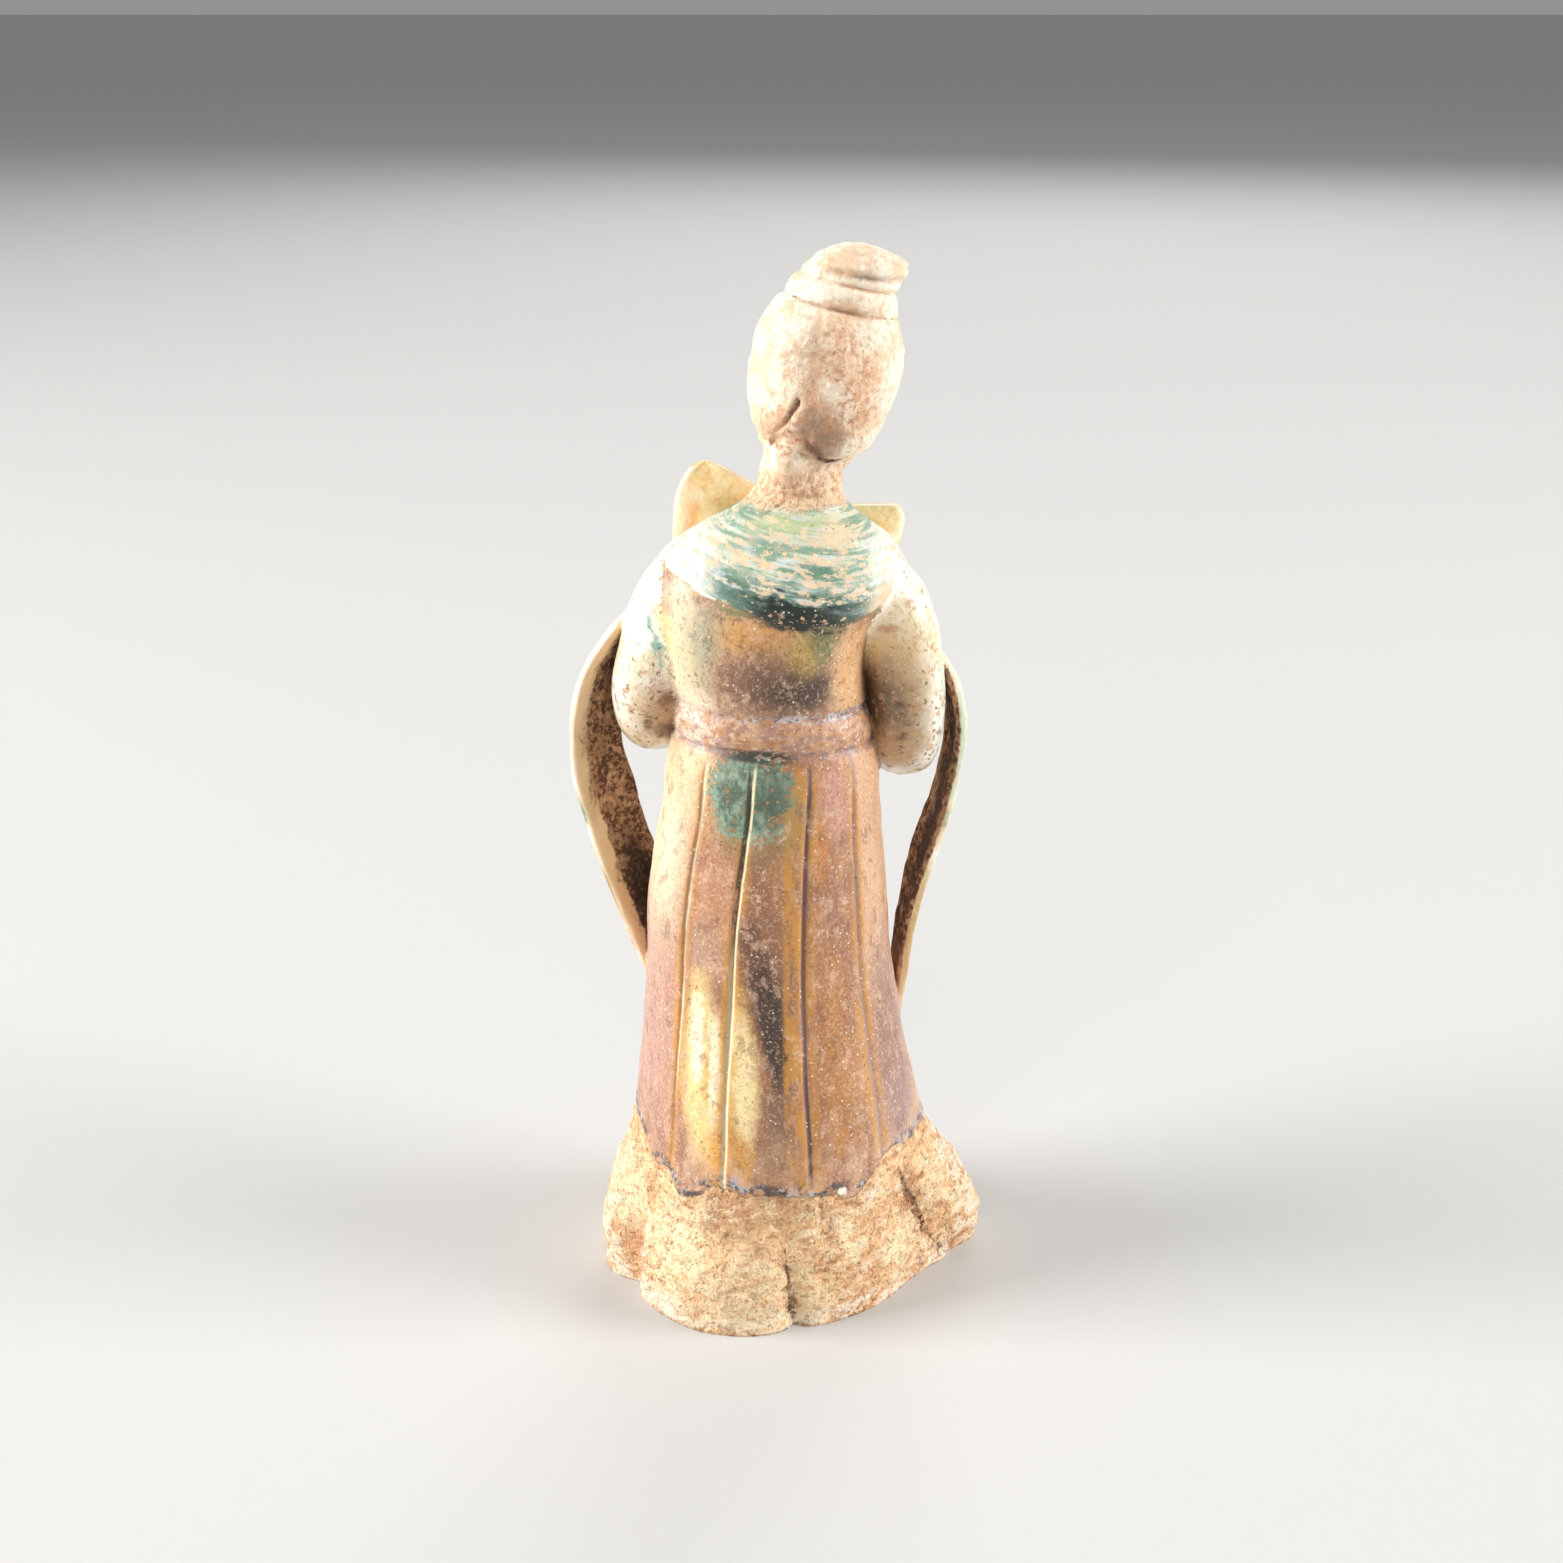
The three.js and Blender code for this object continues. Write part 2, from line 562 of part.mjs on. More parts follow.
const glazedEarthenware = new THREE.MeshStandardMaterial({
  color: 0xb98a5e,
  roughness: 0.45,
  metalness: 0,
});

const figure = new THREE.Mesh(geometryOf(whole), glazedEarthenware);
figure.name = "figure";

const part = new THREE.Group();
part.add(figure);

export default part;
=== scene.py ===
import math
import bpy
import numpy as np
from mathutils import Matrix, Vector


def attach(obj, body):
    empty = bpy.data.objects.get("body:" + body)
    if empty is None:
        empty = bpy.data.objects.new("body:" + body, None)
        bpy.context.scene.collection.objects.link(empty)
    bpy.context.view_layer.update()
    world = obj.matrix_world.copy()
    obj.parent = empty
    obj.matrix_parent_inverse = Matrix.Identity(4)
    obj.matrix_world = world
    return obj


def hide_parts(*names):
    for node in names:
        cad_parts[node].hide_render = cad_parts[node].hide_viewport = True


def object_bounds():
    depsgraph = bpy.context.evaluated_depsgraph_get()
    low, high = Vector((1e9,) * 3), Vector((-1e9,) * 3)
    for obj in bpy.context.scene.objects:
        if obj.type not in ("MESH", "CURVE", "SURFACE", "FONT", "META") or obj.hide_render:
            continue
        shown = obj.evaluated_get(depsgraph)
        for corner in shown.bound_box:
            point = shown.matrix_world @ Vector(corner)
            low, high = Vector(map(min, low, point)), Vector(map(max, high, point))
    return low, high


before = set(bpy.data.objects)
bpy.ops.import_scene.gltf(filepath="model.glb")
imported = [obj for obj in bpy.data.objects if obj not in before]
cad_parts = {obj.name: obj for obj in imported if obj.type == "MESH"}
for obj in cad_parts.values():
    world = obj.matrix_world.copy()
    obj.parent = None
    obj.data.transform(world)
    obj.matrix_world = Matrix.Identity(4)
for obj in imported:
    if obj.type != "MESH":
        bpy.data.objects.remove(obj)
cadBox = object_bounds()

# The figure's own measures are in millimetres, and meshes are made in metres.
millimetre = 0.001
rng = np.random.default_rng(7)


# A smooth curve through [place, value] stations: a cubic between each two, whose slope at
# a station is the mean slope of its two neighbours.
def curveOf(stations):
    at, value = np.array(stations, float).T
    before = np.maximum(np.arange(len(at)) - 1, 0)
    after = np.minimum(np.arange(len(at)) + 1, len(at) - 1)
    slope = (value[after] - value[before]) / (at[after] - at[before])

    def follow(x):
        x = np.clip(x, at[0], at[-1])
        i = np.clip(np.searchsorted(at, x, side="right") - 1, 0, len(at) - 2)
        span = at[i + 1] - at[i]
        t = (x - at[i]) / span
        s = 1 - t
        ends = value[i] * (1 + 2 * t) * s**2 + value[i + 1] * (3 - 2 * t) * t**2
        return ends + span * (slope[i] * t * s**2 - slope[i + 1] * t**2 * s)

    return follow


# A smooth path through points in space: a centripetal Catmull-Rom spline whose end
# stretches run straight on. It is followed by a share from 0 to 1.
def pathOf(points):
    p = np.array(points, float)
    count = len(p) - 1
    p = np.vstack([2 * p[0] - p[1], p, 2 * p[-1] - p[-2]])
    gap = np.sqrt(np.linalg.norm(np.diff(p, axis=0), axis=1))

    def follow(share):
        i = np.clip((share * count).astype(int), 0, count - 1)
        u = (share * count - i)[:, None]
        d0, d1, d2 = gap[i][:, None], gap[i + 1][:, None], gap[i + 2][:, None]
        p0, p1, p2, p3 = p[i], p[i + 1], p[i + 2], p[i + 3]
        m1 = ((p1 - p0) / d0 - (p2 - p0) / (d0 + d1) + (p2 - p1) / d1) * d1
        m2 = ((p2 - p1) / d1 - (p3 - p1) / (d1 + d2) + (p3 - p2) / d2) * d1
        square = -3 * p1 + 3 * p2 - 2 * m1 - m2
        cube = 2 * p1 - 2 * p2 + m1 + m2
        return p1 + m1 * u + square * u**2 + cube * u**3

    return follow


# tent is 1 at the middle and falls straight to 0 at the width, and bump is a cosine hill
# of the same foot. rise goes smoothly from 0 at low to 1 at high, and low may be the larger.
def tent(distance, width):
    return np.maximum(0, 1 - np.abs(distance) / width)


def bump(distance, width):
    return 0.5 - 0.5 * np.cos(np.pi * tent(distance, width))


def rise(x, low, high):
    t = np.clip((x - low) / (high - low), 0, 1)
    return t * t * (3 - 2 * t)


# The turn in degrees from b to a, between -180 and 180.
def turned(a, b):
    return (a - b + 540) % 360 - 180


def unit(vectors):
    return vectors / np.maximum(np.linalg.norm(vectors, axis=-1, keepdims=True), 1e-9)


# Lumpy noise from -1 to 1: random heights at the corners of a lattice of cubes of the
# given size, blended smoothly in between. A corner finds its height by mixing its three
# places and the seed, each times a large number.
lattice = {"count": 65536, "mixX": 73856093, "mixY": 19349663, "mixZ": 83492791, "mixSeed": 2654435}
latticeHeights = rng.uniform(-1, 1, lattice["count"])


def lumps(points, size, seed=0):
    cell = points / size
    low = np.floor(cell).astype(np.int64)
    f = cell - low
    f = f * f * (3 - 2 * f)
    total = np.zeros(len(points))
    for corner in np.ndindex(2, 2, 2):
        x, y, z = (low + corner).T
        key = (x * lattice["mixX"]) ^ (y * lattice["mixY"]) ^ (z * lattice["mixZ"])
        key = key ^ (seed * lattice["mixSeed"])
        weight = np.prod(np.where(corner, f, 1 - f), axis=1)
        total += weight * latticeHeights[key & (lattice["count"] - 1)]
    return total


# Every part of the clay is a closed surface: rings of points (ring, place, xyz) that run
# anticlockwise seen from the last ring, with a fan of triangles over each end. Its part
# number and its flow, three measures for the glaze, are kept at its corners.
parts = []


def addPart(name, rings, number, flow=None):
    count, places = rings.shape[:2]
    points = np.vstack([rings.reshape(-1, 3), rings[0].mean(0), rings[-1].mean(0)])
    ring, place = np.meshgrid(np.arange(count - 1), np.arange(places), indexing="ij")
    a = (ring * places + place).ravel()
    b = (ring * places + (place + 1) % places).ravel()
    k = np.arange(places)
    after = (k + 1) % places
    first = np.full(places, count * places)
    last = (count - 1) * places
    faces = np.vstack([
        np.stack([a, b, b + places], 1),
        np.stack([a, b + places, a + places], 1),
        np.stack([first, after, k], 1),
        np.stack([first + 1, last + k, last + after], 1),
    ])
    mesh = bpy.data.meshes.new(name)
    mesh.from_pydata((points * millimetre).tolist(), [], faces.tolist())
    corner = np.zeros((len(points), 3))
    if flow is not None:
        corner[: count * places] = flow.reshape(-1, 3)
    layer = mesh.attributes.new("flow", "FLOAT_VECTOR", "CORNER")
    layer.data.foreach_set("vector", corner[faces.ravel()].ravel())
    layer = mesh.attributes.new("partNumber", "FLOAT", "CORNER")
    layer.data.foreach_set("value", np.full(faces.size, float(number)))
    part = bpy.data.objects.new(name, mesh)
    bpy.context.collection.objects.link(part)
    parts.append(part)
    return part


gownPart, headPart, armPart, wingPart, scarfPart, pipePart, handPart, shoePart = range(1, 9)

# Skirt and trunk. Heights, depths and widths are in millimetres, and angles in degrees from
# her left round the back, so 90 is the middle of the back.
gown = {
    "hemCentreX": -1,
    "hemFullest": 9,
    "lowLobe": 195,
    "lowLobeWidth": 50,
    "lowLobeDrop": 5,
    "backPleats": [52, 80, 110.7, 139],
    "frontPleats": [212, 240, 300, 328],
    "pleatDepth": 0.8,
    "pleatAngle": 2.0,
    "pleatFoot": [34, 44],
    "pleatThins": [60, 100],
    "pleatThinShare": 0.6,
    "pleatTop": 13,
    "pleatLip": 0.14,
    "pleatLipAngle": 3.0,
    "pleatLipWidth": 1.8,
    "twist": 12.5,
    "twistMiddle": 80,
    "twistRun": 1.4,
    "skirtTop": 143,
    "beltMiddle": 149,
    "beltHalfHeight": 3.6,
    "beltRise": 0.6,
    "beltGroove": 0.95,
    "beltGrooveOff": 0.9,
    "beltGrooveWidth": 1.5,
    "beltSlope": 0.045,
    "scarfStep": 1.5,
    "scarfFolds": [3.2, 5.6, 8.4, 11.6, 15.2],
    "scarfFoldDepth": 0.5,
    "scarfFoldWidth": 1.3,
    "scarfTop": 204,
    # Columns and rows of its grid, as from, to and step.
    "columns": [[0, 180, 1.5], [180, 360, 2.6], [146.75, 178.75, 1.5], [88.75, 94.75, 1.5]],
    "rows": [
        [0, 48, 0.8], [48, 140, 1.9], [140, 158, 0.65], [158, 175, 1.1], [175, 205, 0.65],
        [205, 216, 1.0],
    ],
    "columnsInPleat": 9,
}

# The trunk by height: its middle across, its half width, and its depths behind and in front.
trunkCentre = curveOf([
    [0, 1], [48, 2.3], [60, 3.1], [72, 3.7], [100, 4.6], [118, 4.2], [128, 3.6], [137, 3.4],
    [150, 3.4], [162, 4.6], [172, 4.4], [180, 2.6], [190, 1], [197, -0.6], [202, -2.2],
    [208, -3.2], [216, -4.4],
])
trunkWidth = curveOf([
    [0, 35.4], [48, 34.7], [57, 34.1], [72, 32.3], [86, 30.7], [100, 29.9], [111, 28.8],
    [119, 27.8], [127, 26.6], [137, 25.9], [150, 23.4], [162, 23.4], [172, 24.8], [180, 28],
    [185, 29.4], [189, 28.6], [193, 25.2], [197, 19], [200, 14.2], [203, 11], [208, 9.8],
    [216, 9.4],
])
trunkBack = curveOf([
    [0, 34], [48, 34], [57, 32.6], [72, 29.5], [86, 27.2], [100, 25.6], [120, 23],
    [137, 20.6], [148, 19.6], [160, 21.4], [170, 22.8], [178, 22.2], [184, 19.6],
    [190, 15.6], [195, 12.4], [200, 9.8], [205, 8.4], [216, 8],
])
trunkFront = curveOf([
    [0, 31], [48, 31], [57, 30], [72, 27.4], [100, 24], [120, 22.4], [137, 21.4], [148, 21],
    [160, 22.4], [170, 21.4], [178, 18.4], [184, 15.4], [190, 12.8], [195, 11.4],
    [200, 10.6], [205, 10], [216, 9.6],
])
# The hem: its reach by angle, and by height the share in which it replaces the trunk.
hemRadius = curveOf([
    [0, 49], [12, 48.8], [24, 45.4], [40, 45.4], [57, 45.6], [73, 43.6], [92, 38.8],
    [110, 36.4], [130, 35.2], [152, 34.8], [165, 37.8], [172, 41.4], [180, 46.6],
    [186, 50.4], [193, 52.4], [201, 51.4], [210, 48], [224, 44], [240, 42.5], [262, 40.5],
    [285, 40], [305, 41.5], [325, 44.5], [345, 47.8], [360, 49],
])
hemSpread = curveOf([
    [0, 0.94], [4, 0.985], [9, 1], [14, 0.97], [19, 0.91], [24, 0.81], [28, 0.69],
    [32, 0.54], [36, 0.38], [40, 0.26], [44, 0.18], [50, 0.1], [57, 0.04], [66, 0],
])
# Creases between the lobes of the hem: wide valleys, and narrow cuts inside some of them.
# A line has its angle at the ground, its angle at the top, its height and its depth.
hemCreases = [
    {
        "lines": [
            [24, 30, 30, 3.2], [92, 90, 30, 2.2], [179, 149, 36, 2.2], [240, 246, 34, 1.9],
            [306, 300, 34, 1.9],
        ],
        "angle": 8.5,
        "sharpness": 1.3,
        "fade": 2,
    },
    {
        "lines": [[92, 87, 24, 1.3], [176, 146, 33, 2.2], [25, 31, 22, 0.9]],
        "angle": 2.0,
        "sharpness": 1.0,
        "fade": 5,
    },
]
# The lower edge of the scarf across the back, which hangs lower on her right.
scarfEdge = curveOf([
    [-30, 181], [-22, 178.2], [-12, 177], [0, 178.6], [10, 181], [19, 184], [28, 188],
])
scarfEdgeMean = 180
# Height at which the glaze stops above the hem, across the figure.
glazeFoot = curveOf([
    [-52, 41], [-36, 39.5], [-31, 39.5], [-26, 41.6], [-20.4, 36.3], [-17, 33.4],
    [-12, 35.2], [-5, 35.6], [6, 36.8], [17, 37.8], [26, 33.5], [29.5, 38.2], [33, 37.4],
    [37, 43.5], [41, 46], [52, 46],
])
# The two hanging ends of the sash: middle at the belt, slant and foot.
sashEnds = [[-3.4, -0.045, 90], [5.2, 0.04, 82]]
front = {
    "sashRise": 1.3,
    "sashHalf": 2.5,
    "sashWidening": 0.016,
    "jacketEdge": 0.75,
    "neckSlope": 0.42,
    "neckFoot": 181,
    "scarfRise": 0.9,
    "archHalf": 8,
    "archHeight": 10,
    "archRim": 0.5,
    "archDepth": 1.4,
}


# The hem lies over each toe in an arch with a rolled edge, and falls back inside it.
def hemOverToes(x, z):
    out = np.zeros_like(x)
    for middle in shoes["x"]:
        fromArch = np.hypot((x - middle) / front["archHalf"], z / front["archHeight"]) - 1
        out += front["archRim"] * bump(fromArch - 0.16, 0.26) * rise(z, 1, 4)
        out -= front["archDepth"] * rise(-fromArch, -0.05, 0.2)
    return out


# How far the front of the gown stands out: the two hanging ends of the sash, the edges of
# the jacket at the neck, and the scarf over each shoulder.
def frontRelief(x, y, z):
    onFront = rise(-y, 2, 8)
    tails = np.zeros_like(x)
    for middle, slant, foot in sashEnds:
        line = middle + slant * (gown["skirtTop"] - z)
        half = front["sashHalf"] + front["sashWidening"] * (gown["skirtTop"] - z)
        overFoot = z - foot - (x - line) * 0.5
        shape = rise(half - np.abs(x - line), 0, 0.8) * rise(overFoot, 0, 0.8)
        shape = shape * (1 - 0.35 * bump(x - line, 1.0))
        tails = np.maximum(tails, shape * rise(-z, -146, -145))
    overNeckFoot = z - front["neckFoot"]
    collar = np.abs(np.abs(x + 1.5) - np.maximum(overNeckFoot, 0) * front["neckSlope"])
    jacketEdge = bump(collar, 1.7) * rise(overNeckFoot, 0, 3) * rise(-z, -203, -200)
    shoulder = np.abs(x + 1) - 8.5 - (204 - z) * 0.6
    overShoulder = rise(shoulder, 0, 0.9) * rise(z, 172, 180) * rise(-z, -204, -201)
    raised = front["sashRise"] * tails + front["jacketEdge"] * jacketEdge
    raised = raised + front["scarfRise"] * overShoulder
    return onFront * (raised + hemOverToes(x, z))


# A point of the gown at an angle and a height: an ellipse whose half width and depth
# follow the trunk, blended towards the lobed plan of the hem below, then moved outwards
# by pleats, belt, scarf and creases.
def gownSurface(startAngle, row):
    towardsBack = np.clip(np.sin(np.radians(startAngle)) * 2.5, 0, 1)
    alongX = trunkCentre(row) + trunkWidth(row) * np.cos(np.radians(startAngle))
    z = row + (scarfEdge(alongX) - scarfEdgeMean) * towardsBack * bump(row - 180, 22)
    down = np.clip((gown["skirtTop"] - z) / gown["skirtTop"], 0, 1)
    twist = gown["twist"] * bump(turned(startAngle, gown["twistMiddle"]), 80)
    angle = startAngle - twist * np.minimum(1, down * gown["twistRun"])
    c, s = np.cos(np.radians(angle)), np.sin(np.radians(angle))
    centre = trunkCentre(z)
    x = centre + trunkWidth(z) * c
    y = np.where(s > 0, trunkBack(z), trunkFront(z)) * s

    drop = 1 + gown["lowLobeDrop"] * bump(turned(angle, gown["lowLobe"]), gown["lowLobeWidth"])
    fullest = gown["hemFullest"]
    spread = hemSpread(np.where(z > fullest, np.maximum(fullest, z + drop), z))
    hem = hemRadius(angle % 360)
    x = x + (gown["hemCentreX"] + hem * c - x) * spread
    y = y + (hem * s - y) * spread

    out = frontRelief(x, y, z)
    wobble = 0.5 * np.sin(z * 0.9) + 0.35 * np.sin(z * 2.1)
    for kind in hemCreases:
        for foot, top, height, depth in kind["lines"]:
            up = np.clip(z / height, 0, 1)
            line = turned(angle, foot + (top - foot) * up + wobble)
            out -= depth * (1 - up ** kind["fade"]) * tent(line, kind["angle"]) ** kind["sharpness"]

    inSkirt = rise(gown["skirtTop"] - z, 0, gown["pleatTop"]) * rise(z, *gown["pleatFoot"])
    thin = gown["pleatThinShare"]
    inSkirt = inSkirt * (thin + (1 - thin) * rise(z, *gown["pleatThins"]))
    radius = np.hypot(x - centre, y)
    pleatSide = np.full_like(x, np.inf)  # distance from the nearest pleat, with its side as sign
    for pleat in gown["backPleats"] + gown["frontPleats"]:
        away = turned(startAngle, pleat)
        lip = bump(np.abs(away) - gown["pleatLipAngle"], gown["pleatLipWidth"])
        out -= gown["pleatDepth"] * inSkirt * tent(away, gown["pleatAngle"]) ** 1.3
        out += gown["pleatLip"] * inSkirt * lip
        across = away * np.pi / 180 * radius
        pleatSide = np.where(np.abs(across) < np.abs(pleatSide), across, pleatSide)

    fromBelt = z - gown["beltMiddle"] - gown["beltSlope"] * x
    out += gown["beltRise"] * bump(fromBelt, gown["beltHalfHeight"])
    worn = 0.72 + 0.28 * np.sin(x * 0.45 + 1.2) * np.sin(x * 0.21 + y * 0.3)
    fromGroove = np.abs(fromBelt) - gown["beltHalfHeight"] - gown["beltGrooveOff"]
    out -= gown["beltGroove"] * worn * bump(fromGroove, gown["beltGrooveWidth"])

    overEdge = z - scarfEdge(x)
    shown = np.clip(s * 1.7 - 0.25, 0, 1)
    raised = rise(overEdge, -0.7, 0.7) * np.clip((gown["scarfTop"] - z) / 6, 0, 1)
    out += gown["scarfStep"] * shown * raised
    for fold in gown["scarfFolds"]:
        sway = 0.5 * np.sin(x * 0.23 + fold) + 0.3 * np.sin(x * 0.61 + 2 * fold)
        crease = bump(overEdge - fold - sway, gown["scarfFoldWidth"])
        out -= gown["scarfFoldDepth"] * shown * crease
    x = x + out * (x - centre) / radius
    y = y + out * y / radius
    flow = np.stack([pleatSide, np.abs(pleatSide), np.where(s > 0, overEdge, -9.0)], -1)
    return np.stack([x, y, z], -1), flow


def makeGown():
    pleats = gown["backPleats"] + gown["frontPleats"]
    half = gown["pleatAngle"]
    plain = np.unique(np.concatenate([np.arange(*run) for run in gown["columns"]]))
    clear = np.min([np.abs(turned(plain, p)) for p in pleats], axis=0) > half + 0.8
    fine = np.linspace(-half, half, gown["columnsInPleat"])
    angles = np.sort(np.concatenate([plain[clear], *[p + fine for p in pleats]]))
    rows = np.concatenate([np.arange(*run) for run in gown["rows"]])
    row, angle = np.meshgrid(rows, angles, indexing="ij")
    rings, flow = gownSurface(angle, row)
    addPart("gown", rings, gownPart, flow)


# Cosine, sine and radius at each turn of a superellipse: 2 is a circle, and a higher
# squareness comes closer to a square.
def roundedSquare(turn, squareness):
    c, s = np.cos(turn), np.sin(turn)
    return c, s, (np.abs(c) ** squareness + np.abs(s) ** squareness) ** (-1 / squareness)


# Rings of a tube along a path. A ring is a superellipse in a plane that is square to the
# path, with its half width across and its half height, and folds move its points out or in.
def tubeAlong(stations, squareness, columns, rows, folds):
    share = np.linspace(0, 1, rows)
    middle = pathOf([s[:3] for s in stations])(share)
    along = unit(np.gradient(middle, axis=0))
    side = unit(np.array([1.0, 0, 0]) - along * along[:, :1])
    up = np.cross(along, side)
    marks = np.linspace(0, 1, len(stations))
    wide = curveOf(list(zip(marks, [s[3] for s in stations])))(share)[:, None]
    tall = curveOf(list(zip(marks, [s[4] for s in stations])))(share)[:, None]
    turn = np.linspace(0, 2 * np.pi, columns, endpoint=False)[None, :]
    c, s, radius = roundedSquare(turn, squareness)
    change = folds(share[:, None], turn)
    across = ((wide * radius + change) * c)[..., None] * side[:, None]
    upward = ((tall * radius + change) * s)[..., None] * up[:, None]
    return middle[:, None] + across + upward


# Sleeves: shoulder, elbow and forearm, as x, y, z, half width, half height.
sleeves = {
    "left": [
        [10, -1, 186, 7, 7], [20, -1, 184.6, 9.2, 10], [27, -1.5, 176.8, 9.7, 11],
        [31, -2.5, 164, 9.4, 11], [33.2, -4.5, 154, 9.3, 10.6], [31.8, -10, 147.6, 9.8, 10.8],
        [29.8, -18.5, 150.5, 9.2, 10.6], [24.4, -26, 156.5, 8, 10],
    ],
    "right": [
        [-9, -1, 184, 7, 7], [-19.4, -1, 182.4, 9.2, 10], [-25.4, -1.5, 174, 9.7, 11],
        [-28, -2.5, 163, 9.6, 11], [-29.2, -4, 152, 9.5, 12], [-28.6, -10, 143.6, 9.4, 13],
        [-26, -18.5, 148.5, 9.2, 12], [-21.4, -25.6, 156.5, 8, 10],
    ],
    "squareness": {"left": 2.2, "right": 2.8},
    "columns": 56,
    "rows": 84,
    "folds": [0.56, 0.625, 0.69, 0.75],
    "foldWidth": 0.022,
    "foldDepth": 0.7,
    "crossFold": 0.3,
    "cuffRoll": 0.5,
    "cuffDepth": 4,
    "cuffInside": 7 / 9,
}


# Folds that gather on the inside of the elbow, and a rolled edge at the cuff.
def sleeveFolds(share, turn):
    inside = rise(np.cos(turn - 1.9), 0.0, 1)
    folds = sum(bump(share - at, sleeves["foldWidth"]) for at in sleeves["folds"])
    crossing = bump(share - 0.3 - 0.05 * np.sin(turn), 0.05) * sleeves["crossFold"]
    roll = sleeves["cuffRoll"] * bump(share - 0.965, 0.03)
    return roll - sleeves["foldDepth"] * folds * inside - crossing


def makeSleeve(hand):
    squareness = sleeves["squareness"][hand]
    rings = tubeAlong(sleeves[hand], squareness, sleeves["columns"], sleeves["rows"], sleeveFolds)
    end, middle = rings[-1], rings[-1].mean(0)
    along = unit(middle - rings[-3].mean(0))
    inner = middle + (end - middle) * sleeves["cuffInside"]
    cuff = [
        middle + (end - middle) * 0.95 + along * 0.5,
        inner + along * 0.4,
        inner - along * 1.2,
        inner - along * sleeves["cuffDepth"],
    ]
    addPart(hand + "Sleeve", np.concatenate([rings, np.stack(cuff)]), armPart)


# The head and the topknot are egg-shaped: at each level an ellipse, with its own depth at
# the back and at the front. They are made upright, then tilted and set in place.
head = {
    "centre": np.array([-8.35, -2, 229.5]),
    "tilt": math.radians(13),
    "columns": 132,
    "rows": [[-20, -15, 10], [-15, 10, 62], [10, 19.5, 16]],  # from, to and count
    "hairRise": 0.9,
    "combDepth": 0.1,
    "combLines": 46,
    "napeDepth": 1.0,
    "crackDepth": 1.05,
    "crackLip": 0.45,
    "tieDepth": 0.8,
    "backRidge": 0.35,
}
headWidth = curveOf([
    [-20, 6], [-18.5, 9.4], [-15, 12], [-10.5, 14], [-4, 15.8], [2, 16.5], [7.5, 16.3],
    [12.4, 14.9], [16.5, 12.9], [19.5, 9],
])
headBack = curveOf([
    [-20, 8], [-18, 10.2], [-12, 13.6], [-4, 16], [4, 16.6], [10, 15.2], [15, 12.6],
    [19.5, 8],
])
headFront = curveOf([
    [-20, 5], [-18.5, 9.6], [-15, 12.4], [-10, 13.8], [-4, 14.6], [3, 15.4], [9, 15],
    [14, 12.6], [19.5, 8],
])
# Height of the hairline at an angle from the middle of the face.
hairline = curveOf([
    [0, 9.6], [12, 9.2], [26, 7.6], [40, 4.6], [52, 0.2], [62, -5.4], [72, -9.4], [84, -11.6],
    [100, -13.2], [130, -15.2], [180, -15.8],
])
# The crack runs down from near the middle of the back of the head, and the edge of the
# hair at the nape is lower on her right.
crackLine = curveOf([[-15, 8.7], [-12.8, 8.2], [-10, 6.6], [-6.5, 5.4], [-4, 4.8], [-2.5, 5.2]])
napeLine = curveOf([[-10, -15.6], [-3.6, -16.2], [-1, -14.2], [1.5, -11.4], [4, -10.5]])


# Places on the face, across and up from the middle of the head.
face = {
    "brow": 3.3,
    "browMiddle": 4.6,
    "browBend": 0.045,
    "lid": -0.5,
    "eyeMiddle": 5.3,
    "lidBend": 0.075,
    "noseTip": -8.0,
    "mouth": -11.7,
    "chin": -16.6,
}


# The face: brow, eyes with lids, nose with wings, lips and chin, as soft hills and hollows
# on x and height.
def faceRelief(x, t):
    side = np.abs(x)
    offEye = side - face["eyeMiddle"]
    nose = bump(x, 2.1 + 0.7 * rise(-t, 3, 7)) * rise(t, -9.8, -7.6) * rise(-t, -3, 6.5)
    wings = bump(side - 1.7, 1.3) * bump(t - face["noseTip"], 1.6)
    browArc = t - face["brow"] + face["browBend"] * (side - face["browMiddle"]) ** 2
    brow = bump(browArc, 1.3) * rise(side, 0.8, 2.4) * rise(-side, -10.5, -8)
    lidArc = t - face["lid"] + face["lidBend"] * offEye**2
    socket = bump(side - 5.2, 4.8) * bump(t + 0.4, 3.8)
    ball = bump(offEye, 3.3) * bump(t + 0.9, 2.0)
    slit = bump(lidArc + 0.6, 0.6) * rise(-np.abs(offEye), -3.2, -2.2)
    fold = bump(lidArc - 0.9, 0.5) * rise(-np.abs(offEye), -3.5, -2.4)
    mouthLine = t - face["mouth"] - 0.02 * x**2
    upperLip = bump(mouthLine - 0.85, 1.1) * rise(-side, -3.9, -2.2)
    lowerLip = bump(mouthLine + 1.05, 1.2) * rise(-side, -3.3, -1.6)
    parting = bump(mouthLine, 0.55) * rise(-side, -4.2, -3.0)
    groove = bump(x, 0.9) * bump(t + 10.0, 0.9)
    underLip = bump(x, 4) * bump(t + 14.2, 1.3)
    chin = bump(x, 5.2) * bump(t - face["chin"], 3.0)
    cheeks = bump(side - 7.6, 5) * bump(t + 7.2, 6)
    raised = 2.9 * nose + 0.6 * wings + 0.5 * brow + 1.05 * ball + 1.0 * upperLip
    raised = raised + 1.1 * lowerLip + 1.2 * chin + 0.7 * cheeks
    sunk = 1.5 * socket + 0.55 * slit + 0.4 * fold + 0.8 * parting
    sunk = sunk + 0.35 * groove + 0.3 * underLip
    return raised - sunk


